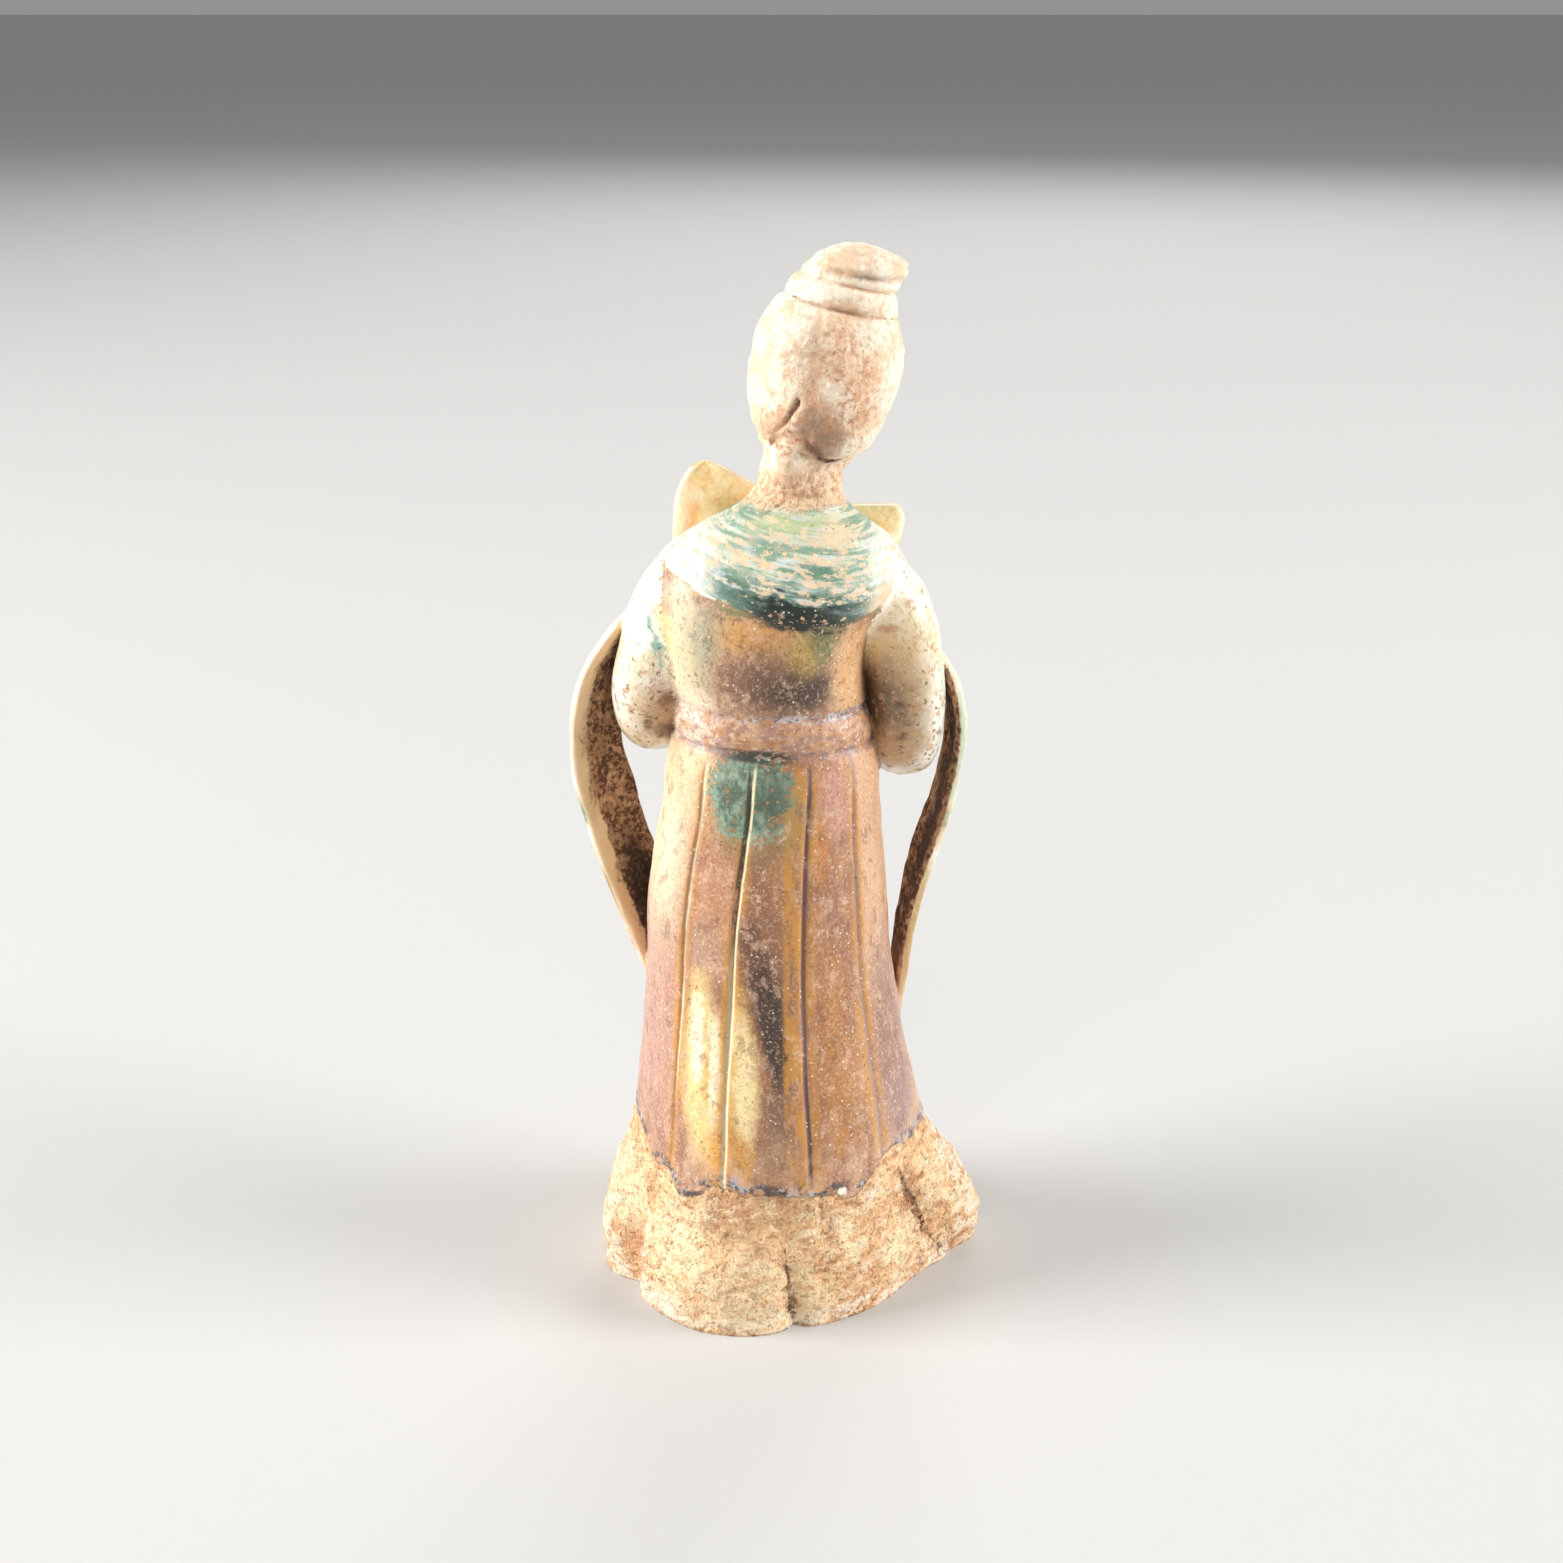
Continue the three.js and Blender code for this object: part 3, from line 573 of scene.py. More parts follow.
# Tilts what was made upright and sets it in place.
def placeHead(rings):
    c, s = math.cos(head["tilt"]), math.sin(head["tilt"])
    x, y, z = rings[..., 0], rings[..., 1], rings[..., 2]
    return np.stack([x * c - z * s, y, x * s + z * c], -1) + head["centre"]


# Rings of an egg: at each level an ellipse with its own half width and depths, whose points
# the relief moves out or in.
def egg(levels, width, back, front, turn, relief):
    level, angle = np.meshgrid(levels, turn, indexing="ij")
    c, s = np.cos(angle), np.sin(angle)
    x = width(level) * c
    y = np.where(s > 0, back(level), front(level)) * s
    out = relief(x, y, level)
    length = np.maximum(np.hypot(x, y), 1e-6)
    return np.stack([x + out * x / length, y + out * y / length, level], -1)


# Hair stands proud of the face and of the nape, with fine combed lines in it, and a short
# crack runs up from the nape on her left.
def headRelief(x, y, t):
    fromFace = np.degrees(np.abs(np.arctan2(x, -y)))
    overHairline = t - hairline(fromFace)
    hair = rise(overHairline, -0.45, 0.45)
    underNape = rise(x, 3, -1) * rise(napeLine(x) - t, -0.3, 0.5) * rise(y, 0, 6)
    comb = np.sin(np.arctan2(x, 4 + np.abs(y)) * head["combLines"] + t * 0.12)
    comb = comb * rise(overHairline, 0, 2) * (1 - rise(y, -2, 2) * 0.8)
    away = (x - crackLine(t)) * 0.85
    crack = tent(away, 0.8) * rise(t, -15, -9) * rise(-t, 2.4, 3.8) * rise(y, 0, 5)
    lip = bump(away + 1.9, 1.9) * rise(t, -13, -9) * rise(-t, 2.4, 5) * rise(y, 0, 5)
    tie = bump(t - 17.2, 1.0) * (0.35 + 0.65 * bump(x + 1, 9)) * rise(y, -3, 3)
    ridge = bump(x + 1.5, 5) * rise(y, 4, 9) * rise(-np.abs(t - 1), -13, -6)
    raised = head["hairRise"] * hair + head["combDepth"] * comb + head["crackLip"] * lip
    raised = raised + head["backRidge"] * ridge
    sunk = head["napeDepth"] * underNape + head["crackDepth"] * crack + head["tieDepth"] * tie
    return raised - sunk + faceRelief(x, t) * rise(-y, 1, 5) * rise(-overHairline, -0.3, 0.5)


def makeHead():
    even = np.linspace(0, 2 * np.pi, head["columns"], endpoint=False)
    turn = even + 0.3 * np.cos(even)  # closer columns on the face
    levels = np.unique(np.concatenate([np.linspace(*run) for run in head["rows"]]))
    rings = egg(levels, headWidth, headBack, headFront, turn, headRelief)
    addPart("head", placeHead(rings), headPart)


# The topknot: a band round its foot, and a lobe of hair swept over to her right, parted
# from the band by a slanting crease.
topknot = {
    "columns": 64,
    "bandLevels": [14, 24, 28],  # from, to and count
    "bandTie": 0.6,
    "bandCrease": 0.35,
    "lobeTop": 31.5,
    "lobeHeight": 10.5,
    "lobeRows": 36,
    "lobeRowBend": 1.4,  # over 1 sets the rows closer near the top
    "lobeParting": 0.75,
    "lobeCrease": 0.3,
    "lobeCrest": 0.2,
}
bandDepth = curveOf([[14, 9], [17.4, 10.6], [20.4, 10.8], [22.6, 9.6], [24, 7]])
bandWidth = curveOf([[14, 10.5], [17, 12.9], [19.6, 12.7], [22.2, 11.4], [24, 9]])
bandLean = curveOf([[14, -0.1], [24, -0.1]])
lobeWidth = curveOf([
    [21, 9.4], [22.4, 11], [26.2, 10.9], [28.9, 9.4], [30.3, 7.3], [31.5, 2.6],
])
lobeDepth = curveOf([
    [21, 7], [22.6, 9], [25.6, 9.6], [28.4, 8.2], [30.3, 5.6], [31.5, 1.8],
])
lobeLean = curveOf([
    [21, -0.2], [22.4, -0.4], [26.2, -2.1], [28.9, -3.6], [30.3, -4.1], [31.5, -3],
])


def bandRelief(x, y, t):
    tied = bump(t - 17.3, 1.1) * (0.4 + 0.6 * bump(x + 1, 9))
    crease = bump(t - 22.6, 0.8) * rise(-x, -6, 2)
    return -topknot["bandTie"] * tied - topknot["bandCrease"] * crease


def lobeRelief(x, y, t):
    parting = bump(t - 25.3, 1.5) * rise(x, -13, -9) * rise(-x, -9, -3)
    crease = bump(t - 22.6, 0.9) * rise(-x, -7, 1)
    crest = topknot["lobeCrest"] * bump(t - 27.4, 1.4)
    return crest - topknot["lobeParting"] * parting - topknot["lobeCrease"] * crease


def makeTopknot():
    turn = np.linspace(0, 2 * np.pi, topknot["columns"], endpoint=False)
    down = (1 - np.linspace(0, 1, topknot["lobeRows"])) ** topknot["lobeRowBend"]
    lobeLevels = topknot["lobeTop"] - topknot["lobeHeight"] * down
    for name, levels, width, depth, lean, relief in (
        ("knotBand", np.linspace(*topknot["bandLevels"]), bandWidth, bandDepth, bandLean, bandRelief),
        ("knotLobe", lobeLevels, lobeWidth, lobeDepth, lobeLean, lobeRelief),
    ):
        rings = egg(levels, width, depth, depth, turn, relief)
        rings[..., 0] += lean(levels)[:, None]
        addPart(name, placeHead(rings), headPart)


# A wing of the jacket: at each height a thin slab between its inner and outer edge, with
# a ridge on its back.
wings = {
    "left": {
        "inner": [[180, 9], [198, 7], [202.3, 7.4], [204.4, 11], [206.9, 15.4], [208.2, 18.4]],
        "outer": [[180, 27], [190, 27.3], [198.7, 26.7], [203, 25.4], [206.6, 23], [208.2, 20.4]],
        "ridge": [[180, 19], [200, 19.4], [208.2, 19.3]],
        "middle": [[180, -11.4], [208, -13.6]],
        "heights": [181, 208.2],
    },
    "right": {
        "inner": [[176, -12], [197.6, -12.5]],
        "outer": [[176, -26], [187, -27.1], [191.3, -28.2], [195.3, -28.5], [197.6, -27]],
        "ridge": [[176, -16], [187, -22.5], [197.6, -26]],
        "middle": [[176, -11.4], [198, -13.2]],
        "heights": [177, 197.6],
    },
    "ridgeRise": 1.6,
    "frontRise": 0.5,
    "rim": 0.35,
    "half": 1.3,
    "rows": 46,
    "rowBend": 1.35,
    "columns": 60,
    "squareness": 7,
}


def makeWing(hand):
    wing = wings[hand]
    foot, top = wing["heights"]
    z = top - (top - foot) * (1 - np.linspace(0, 1, wings["rows"])) ** wings["rowBend"]
    inner = curveOf(wing["inner"])(z)[:, None]
    outer = curveOf(wing["outer"])(z)[:, None]
    ridge = curveOf(wing["ridge"])(z)[:, None]
    y = curveOf(wing["middle"])(z)[:, None]
    low, high = np.minimum(inner, outer), np.maximum(inner, outer)
    half = np.minimum(wings["half"], (high - low) / 6)
    turn = np.linspace(0, 2 * np.pi, wings["columns"], endpoint=False)[None, :]
    c, s, radius = roundedSquare(turn, wings["squareness"])
    x = (low + high) / 2 + (high - low) / 2 * radius * c
    slope = np.where(x < ridge, (x - low) / (ridge - low), (high - x) / (high - ridge))
    edge = np.minimum(x - low, high - x)
    rim = wings["rim"] * bump(edge - 1.1, 1.3)
    rounded = 1 - (1 - np.clip(slope, 0, 1)) ** 1.7
    back = half + wings["ridgeRise"] * rounded * rise(top - z, 0, 9)[:, None] + rim
    ahead = half + wings["frontRise"] * np.clip(slope, 0, 1) + rim
    depth = np.where(s > 0, back, ahead) * radius * s
    addPart(hand + "Wing", np.stack([x, y + depth, z[:, None] + 0 * x], -1), wingPart)


# A scarf end: a band of clay between its back edge and its front edge.
scarfEnds = {
    "left": [
        [[29, -6, 181], [23, -14, 177]], [[37.6, -3.5, 174], [31, -14, 171]],
        [[42.8, -2.5, 168], [37, -14.5, 163.5]], [[48, -2, 160.7], [40.5, -15, 155]],
        [[51.3, -2, 151.5], [41.8, -15, 146.5]], [[52.5, -2, 142], [41.6, -15, 138]],
        [[52.1, -2, 132], [39.8, -14.5, 130]], [[49.5, -2, 121], [37.2, -14, 121]],
        [[46.5, -2, 110], [34, -13, 111]], [[42.3, -2, 98], [31.4, -12, 100]],
        [[37.4, -1, 85.5], [29.4, -11, 88]], [[32.4, 0, 73], [27, -10, 76]],
    ],
    "right": [
        [[-27, -6, 172], [-23, -15, 168]], [[-37, -4, 163], [-33, -16, 160]],
        [[-40.9, -3, 156.6], [-38, -17, 153]], [[-42.7, -3, 149], [-40.5, -17, 145]],
        [[-43.1, -3, 141], [-41, -17, 137.5]], [[-42.1, -3, 132.5], [-39.4, -17, 130]],
        [[-39.9, -3, 122], [-36.8, -16.5, 120.5]], [[-36.7, -3, 110.5], [-33.3, -15.5, 110.5]],
        [[-33.3, -3, 99], [-30.8, -14, 100]], [[-30.9, -3, 88], [-29.2, -13, 89]],
        [[-29.8, -3, 78], [-28, -12, 79]], [[-28, -2, 66], [-26, -11, 68]],
    ],
    "thickness": 3.6,
    "sunkDepth": 0.75,
    "rows": 112,
    "columns": 36,
    "squareness": 4,
}


def makeScarfEnd(hand):
    share = np.linspace(0, 1, scarfEnds["rows"])
    back = pathOf([pair[0] for pair in scarfEnds[hand]])(share)
    front = pathOf([pair[1] for pair in scarfEnds[hand]])(share)
    across = (back - front) / 2
    middle = (back + front) / 2
    along = unit(np.gradient(back, axis=0) + np.gradient(front, axis=0))
    through = unit(np.cross(along, across))
    turn = np.linspace(0, 2 * np.pi, scarfEnds["columns"], endpoint=False)[None, :, None]
    c, s, radius = roundedSquare(turn, scarfEnds["squareness"])
    half = scarfEnds["thickness"] / 2
    inward = -1 if hand == "left" else 1
    # The sunk inner face has a raised rim along both edges.
    sunk = rise(inward * s, 0.2, 0.9) * rise(-np.abs(c * radius), -0.86, -0.62)
    rings = middle[:, None] + across[:, None] * radius * c
    offMiddle = half * radius * s - scarfEnds["sunkDepth"] * inward * sunk
    rings = rings + through[:, None] * offMiddle
    flow = np.zeros(rings.shape)
    flow[..., 0] = (inward * s * radius)[..., 0]
    flow[..., 1] = (c * radius)[..., 0]
    addPart(hand + "ScarfEnd", rings, scarfPart, flow)


# A round rod between two points, with domed ends and a slight swelling at its joints.
def addRod(name, start, end, radius, number, columns=18, swell=0.0):
    start, end = np.array(start, float), np.array(end, float)
    length = np.linalg.norm(end - start)
    along = (end - start) / length
    side = unit(np.cross(along, [0, 0, 1] if abs(along[2]) < 0.9 else [1, 0, 0]))
    up = np.cross(along, side)
    dome = np.linspace(0.06, np.pi / 2, 6)
    shaft = np.linspace(0, length, 12)[1:-1]
    domeOut, domeGirth = radius * np.cos(dome), radius * np.sin(dome)
    place = np.concatenate([-domeOut, shaft, length + domeOut[::-1]])
    girth = np.concatenate([domeGirth, np.full(len(shaft), radius), domeGirth[::-1]])
    girth = girth * (1 + swell * bump(place / length - 0.42, 0.2))
    turn = np.linspace(0, 2 * np.pi, columns, endpoint=False)[None, :, None]
    outwards = side * np.cos(turn) + up * np.sin(turn)
    rings = start + along * place[:, None, None] + outwards * girth[:, None, None]
    addPart(name, rings, number)


# Panpipes: a raft of upright tubes that shorten towards her right, with a strap.
pipes = {
    "count": 11,
    "radius": 1.8,
    "pitch": 3,
    "top": 184,
    "longest": 34,
    "shortest": 24,
    "centreX": 1.5,
    "centreY": -28,
    "columns": 20,
    "boreDepth": 2.4,
    "strapDrop": 6,
    "strapHalf": 1.3,
    "strapProud": 0.4,
    "strapSquareness": 8,
}


def makePipes():
    turn = np.linspace(0, 2 * np.pi, pipes["columns"], endpoint=False)[None, :]
    for i in range(pipes["count"]):
        share = i / (pipes["count"] - 1)
        length = pipes["shortest"] + (pipes["longest"] - pipes["shortest"]) * share
        x = pipes["centreX"] + (i - (pipes["count"] - 1) / 2) * pipes["pitch"]
        # From the foot up the outside, over the rim and down into the bore.
        down = length * np.array([1, 1, 0.66, 0.33, 0, 0, 0, 0])
        down = down + [0, -0.3, 0, 0, 0.4, 0, 0, pipes["boreDepth"]]
        girth = pipes["radius"] * np.array([0.8, 1, 1, 1, 1, 0.85, 0.5, 0.5])
        rings = np.stack([
            x + girth[:, None] * np.cos(turn),
            pipes["centreY"] + girth[:, None] * np.sin(turn),
            pipes["top"] - down[:, None] + 0 * turn,
        ], -1)
        addPart("pipe" + str(i + 1), rings, pipePart)
    half = ((pipes["count"] - 1) * pipes["pitch"] + 3) / 2
    c, s, radius = roundedSquare(turn + np.pi / 4, pipes["strapSquareness"])
    high = pipes["strapHalf"]
    height = np.array([-high, 0.2 - high, high - 0.2, high])[:, None]
    shrink = np.array([0.97, 1, 1, 0.97])[:, None]
    strap = np.stack([
        pipes["centreX"] + half * radius * c * shrink,
        pipes["centreY"] + (pipes["radius"] + pipes["strapProud"]) * radius * s * shrink,
        pipes["top"] - pipes["strapDrop"] + height + 0 * c,
    ], -1)
    addPart("strap", strap, pipePart)


# A ball stretched along the three axes.
def addBall(name, centre, radii, number, columns=36, rows=26):
    polar = np.linspace(-np.pi / 2 + 0.04, np.pi / 2 - 0.04, rows)[:, None]
    turn = np.linspace(0, 2 * np.pi, columns, endpoint=False)[None, :]
    ball = [np.cos(polar) * np.cos(turn), np.cos(polar) * np.sin(turn), np.sin(polar) + 0 * turn]
    addPart(name, np.stack(ball, -1) * radii + np.array(centre, float), number)


# Each hand holds an end of the pipes: a palm, four fingers over the front and a thumb
# behind.
hands = {
    "spread": 18.4,
    "y": -25,
    "heights": {"left": 167, "right": 169},
    "palm": [4.6, 6, 6.6],
    "finger": 1.8,
    "fingerPitch": 3.3,
    "fingerReach": 7.5,
    "fingerTaper": 0.7,
    "wrist": 4,
}


def makeHand(hand):
    side = 1 if hand == "left" else -1
    x = pipes["centreX"] + side * hands["spread"]
    y, z = hands["y"], hands["heights"][hand]
    addBall(hand + "Palm", [x, y, z], hands["palm"], handPart)
    for i in range(4):
        level = z + (1.5 - i) * hands["fingerPitch"]
        ahead = pipes["centreY"] - pipes["radius"] - 1
        knuckle = [x + side * 1.2, ahead + 1.2, level]
        reach = hands["fingerReach"] - hands["fingerTaper"] * i
        tip = [x - side * reach, ahead, level - 0.4]
        addRod(hand + "Finger" + str(i + 1), knuckle, tip, hands["finger"], handPart, 18, 0.06)
    thumbTip = [x - side * 6, pipes["centreY"] + 3.6, z + 7]
    addRod(hand + "Thumb", [x, y + 3, z + 5], thumbTip, hands["finger"], handPart)
    addRod(hand + "Wrist", [x + side * 5.5, y + 5, z - 14], [x, y, z], hands["wrist"], handPart, 28)


# Shoe tips under the front of the hem, the bow of the sash on the belt, and the nape that
# carries the head.
shoes = {"x": [-11, 9], "y": -33, "z": 4.6, "radii": [7.8, 8.5, 5.6], "sole": 2}
bow = {
    "centre": np.array([0.8, -21.4, 147.4]),
    "knot": [2.3, 2.4, 2.6],
    "loop": [4.4, 1.7, 2.2],
    "loopOff": np.array([4.6, 0.9, -0.4]),
}
nape = {"centre": [-1.0, 1.2, 213], "radii": [6.4, 9.0, 9.5]}


def makeShoesBowAndNape():
    addBall("neckBack", nape["centre"], nape["radii"], headPart, 40, 24)
    for i, x in enumerate(shoes["x"]):
        addBall("shoe" + str(i + 1), [x, shoes["y"], shoes["z"]], shoes["radii"], shoePart)
    addBall("bowKnot", bow["centre"], bow["knot"], gownPart, 24, 16)
    for side in (-1, 1):
        addBall("bowLoop", bow["centre"] + bow["loopOff"] * [side, 1, 1], bow["loop"], gownPart, 28, 16)


# All parts become one skin of clay.
def joinParts():
    holder = bpy.data.collections.new("clayParts")
    bpy.context.scene.collection.children.link(holder)
    first = parts[0]
    for part in parts[1:]:
        bpy.context.collection.objects.unlink(part)
        holder.objects.link(part)
    join = first.modifiers.new("join", "BOOLEAN")
    join.operation = "UNION"
    join.solver = "MANIFOLD"
    join.operand_type = "COLLECTION"
    join.collection = holder
    graph = bpy.context.evaluated_depsgraph_get()
    mesh = bpy.data.meshes.new_from_object(first.evaluated_get(graph))
    for part in parts:
        bpy.data.objects.remove(part)
    bpy.data.collections.remove(holder)
    return mesh


def readPoints(mesh):
    points = np.empty(len(mesh.vertices) * 3)
    mesh.vertices.foreach_get("co", points)
    return points.reshape(-1, 3) / millimetre


def readCorners(mesh, name, field, width):
    values = np.empty(len(mesh.loops) * width)
    mesh.attributes[name].data.foreach_get(field, values)
    return values.reshape(-1, width)


# The mean of each point's neighbours, by summing both ends of every edge.
def neighbourMean(values, edges, count):
    total = np.zeros_like(values)
    for a, b in ((0, 1), (1, 0)):
        for k in range(values.shape[1]):
            total[:, k] += np.bincount(edges[:, a], values[edges[:, b], k], count)
    ways = np.bincount(edges.ravel(), minlength=count)
    return total / np.maximum(ways, 1)[:, None]


# Clay is wetted and smoothed where parts meet, so points near a seam between two parts
# move towards the mean of their neighbours.
softening = {
    "fade": 0.78,
    "pull": 0.6,
    "seams": {"reach": 4, "rounds": 7},
    "shoulders": {"reach": 7, "rounds": 40},
}


def softenSeams(points, edges, seam, reach, rounds):
    weight = seam.astype(float)
    for _ in range(reach):
        for a, b in ((0, 1), (1, 0)):
            np.maximum.at(weight, edges[:, a], weight[edges[:, b]] * softening["fade"])
    weight = np.minimum(weight, 1)[:, None]
    for _ in range(rounds):
        change = neighbourMean(points, edges, len(points)) - points
        points = points + softening["pull"] * weight * change
    return points


# Small unevenness of hand-finished clay under glaze, and rougher bare clay on the hem,
# on the neck and on the inner faces of the scarf ends.
weathering = {
    "broad": 0.16,
    "fine": 0.05,
    "bareClay": 0.2,
    "neckFoot": 202,
    "headBare": 0.6,
    "crust": 0.24,
    "pits": 0.25,
    "flakes": 0.4,
    "holeDepth": 0.6,
    "soleLine": 0.4,
    "beltCrumbs": 0.11,
    "glazeStep": 0.32,
}


def weatherRelief(points, normals, number, flow):
    x, y, z = points.T
    onGown = number == gownPart
    bare = np.where(onGown, rise(glazeFoot(x) - z, -1, 2), 0)
    bare = np.where(onGown & (z > weathering["neckFoot"]), 1, bare)
    bare = np.where((number == headPart) & (y > -6), weathering["headBare"], bare)
    crust = np.where(number == scarfPart, rise(flow[:, 0], 0.0, 0.5), 0)
    # A patch of crust also lies on the skirt under her right elbow.
    crust = np.maximum(crust, bump(x + 22.5, 3) * bump(z - 126, 11) * rise(y, -4, 2) * onGown)
    relief = weathering["broad"] * lumps(points, 9, 1) + weathering["fine"] * lumps(points, 2.4, 2)
    grain = lumps(points, 1.5, 3) + 0.6 * lumps(points, 3.4, 4)
    relief += weathering["bareClay"] * bare * grain
    relief += weathering["crust"] * crust * (lumps(points, 2.6, 5) + lumps(points, 4.4, 6))
    pit = rise(lumps(points, 2.2, 7), 0.62, 0.8)
    relief -= weathering["pits"] * pit * np.clip(bare + 0.25, 0, 1)
    # Thin flakes of clay have broken away, leaving low terraces.
    for size, seed in ((9, 8), (5, 9)):
        layer = lumps(points * [1, 1, 1.5], size, seed) + 0.25 * lumps(points, 1.6, seed + 3)
        relief += weathering["flakes"] * (rise(layer, 0.0, 0.12) - 0.5) * bare
    # A small hole lies at the foot of the middle crease, and a line parts each sole.
    relief -= weathering["holeDepth"] * bump(np.hypot(x + 1.1, z - 6.4), 1.6) * (y > 20)
    relief -= weathering["soleLine"] * bump(z - shoes["sole"], 0.9) * (number == shoePart)
    onBelt = bump(z - gown["beltMiddle"] - gown["beltSlope"] * x, 8) * onGown
    relief += weathering["beltCrumbs"] * onBelt * (lumps(points, 1.8, 13) + lumps(points, 3.4, 14))
    # Glaze stands over the bare clay with a rounded bead along its wavering foot.
    edge = z - glazeFoot(x) + 1.2 * lumps(points, 3, 12)
    bead = bump(edge - 0.8, 1.2) * 0.5
    step = rise(edge, -0.4, 0.4) - 1 + bead
    relief += weathering["glazeStep"] * step * (onGown & (z < 60))
    return points + normals * (relief * rise(z, 0.2, 2))[:, None]


# A point on a seam belongs to two parts, which its lowest and highest part number tell.
def makeFigure():
    mesh = joinParts()
    count = len(mesh.vertices)
    points = readPoints(mesh)
    edges = np.empty(len(mesh.edges) * 2, int)
    mesh.edges.foreach_get("vertices", edges)
    edges = edges.reshape(-1, 2)
    corners = np.empty(len(mesh.loops), int)
    mesh.loops.foreach_get("vertex_index", corners)
    number = np.round(readCorners(mesh, "partNumber", "value", 1)[:, 0])
    flow = readCorners(mesh, "flow", "vector", 3)
    lowest = np.full(count, np.inf)
    highest = np.zeros(count)
    np.minimum.at(lowest, corners, number)
    np.maximum.at(highest, corners, number)
    pointFlow = np.zeros((count, 3))
    pointFlow[corners] = flow
    ground = points[:, 2] < 0.05
    seam = (lowest != highest) & ~ground & (highest != shoePart)
    points = softenSeams(points, edges, seam, **softening["seams"])
    x, y, z = points.T
    armhole = seam & (lowest == gownPart) & (highest == armPart) & (y > -6) & (z > 156)
    armhole &= (x > 0) | (z > 172)
    points = softenSeams(points, edges, armhole, **softening["shoulders"])
    setPoints(mesh, points)
    points = weatherRelief(points, readNormals(mesh), highest, pointFlow)
    points[ground, 2] = 0
    low, high = np.array(cadBox) / millimetre
    points = np.clip(points, low + 0.01, high - 0.01)
    setPoints(mesh, points)
    addWear(mesh, points, edges)
    triangles = len(mesh.loops) - 2 * len(mesh.polygons)
    print("figure:", len(mesh.vertices), "points,", triangles, "triangles")
    return mesh


def setPoints(mesh, points):
    mesh.vertices.foreach_set("co", (points * millimetre).ravel())
    mesh.update()


def readNormals(mesh):
    normals = np.empty(len(mesh.vertices) * 3)
    mesh.vertex_normals.foreach_get("vector", normals)
    return normals.reshape(-1, 3)


# How hollow each point lies, in millimetres: the height of its neighbours' mean over it
# along its normal, averaged over a few rings. Dirt gathers where it is high. A second
# measure over fewer rings finds narrow creases.
def addWear(mesh, points, edges):
    normals = readNormals(mesh)
    for name, rings, rounds in (("hollow", 8, 2), ("crease", 3, 0)):
        smooth = points
        for _ in range(rings):
            smooth = neighbourMean(smooth, edges, len(points))
        depth = np.sum((smooth - points) * normals, axis=1, keepdims=True)
        for _ in range(rounds):
            depth = neighbourMean(depth, edges, len(points))
        layer = mesh.attributes.new(name, "FLOAT", "POINT")
        layer.data.foreach_set("value", depth.ravel())


# One number or colour in a material. Sums and products of numbers add their Math nodes.
class Amount:
    def __init__(self, recipe, socket):
        self.recipe = recipe
        self.socket = socket

    def maths(self, operation, *inputs):
        return self.recipe.node("ShaderNodeMath", {"operation": operation}, dict(enumerate(inputs)))

    def __add__(self, other):
        return self.maths("ADD", self, other)

    def __sub__(self, other):
        return self.maths("SUBTRACT", self, other)

    def __rsub__(self, other):
        return self.maths("SUBTRACT", other, self)

    def __mul__(self, other):
        return self.maths("MULTIPLY", self, other)

    def __abs__(self):
        return self.maths("ABSOLUTE", self)

    __radd__ = __add__
    __rmul__ = __mul__

    def most(self, other):
        return self.maths("MAXIMUM", self, other)

    def least(self, other):
        return self.maths("MINIMUM", self, other)

    # 0 at low and 1 at high, smooth in between. low may be the larger one.
    def rise(self, low, high):
        settings = {"interpolation_type": "SMOOTHSTEP"}
        return self.recipe.node("ShaderNodeMapRange", settings, {0: self, 1: low, 2: high})

    # 1 between low and high, 0 outside, over a soft edge at both.
    def between(self, low, high, soft=0.3):
        return self.rise(low - soft, low + soft) * self.rise(high + soft, high - soft)


# A colour as it is seen on a screen, 0 to 255, made linear.
def tint(red, green, blue):
    seen = np.array([red, green, blue]) / 255
    linear = np.where(seen <= 0.04045, seen / 12.92, ((seen + 0.055) / 1.055) ** 2.4)
    return (*linear.tolist(), 1.0)


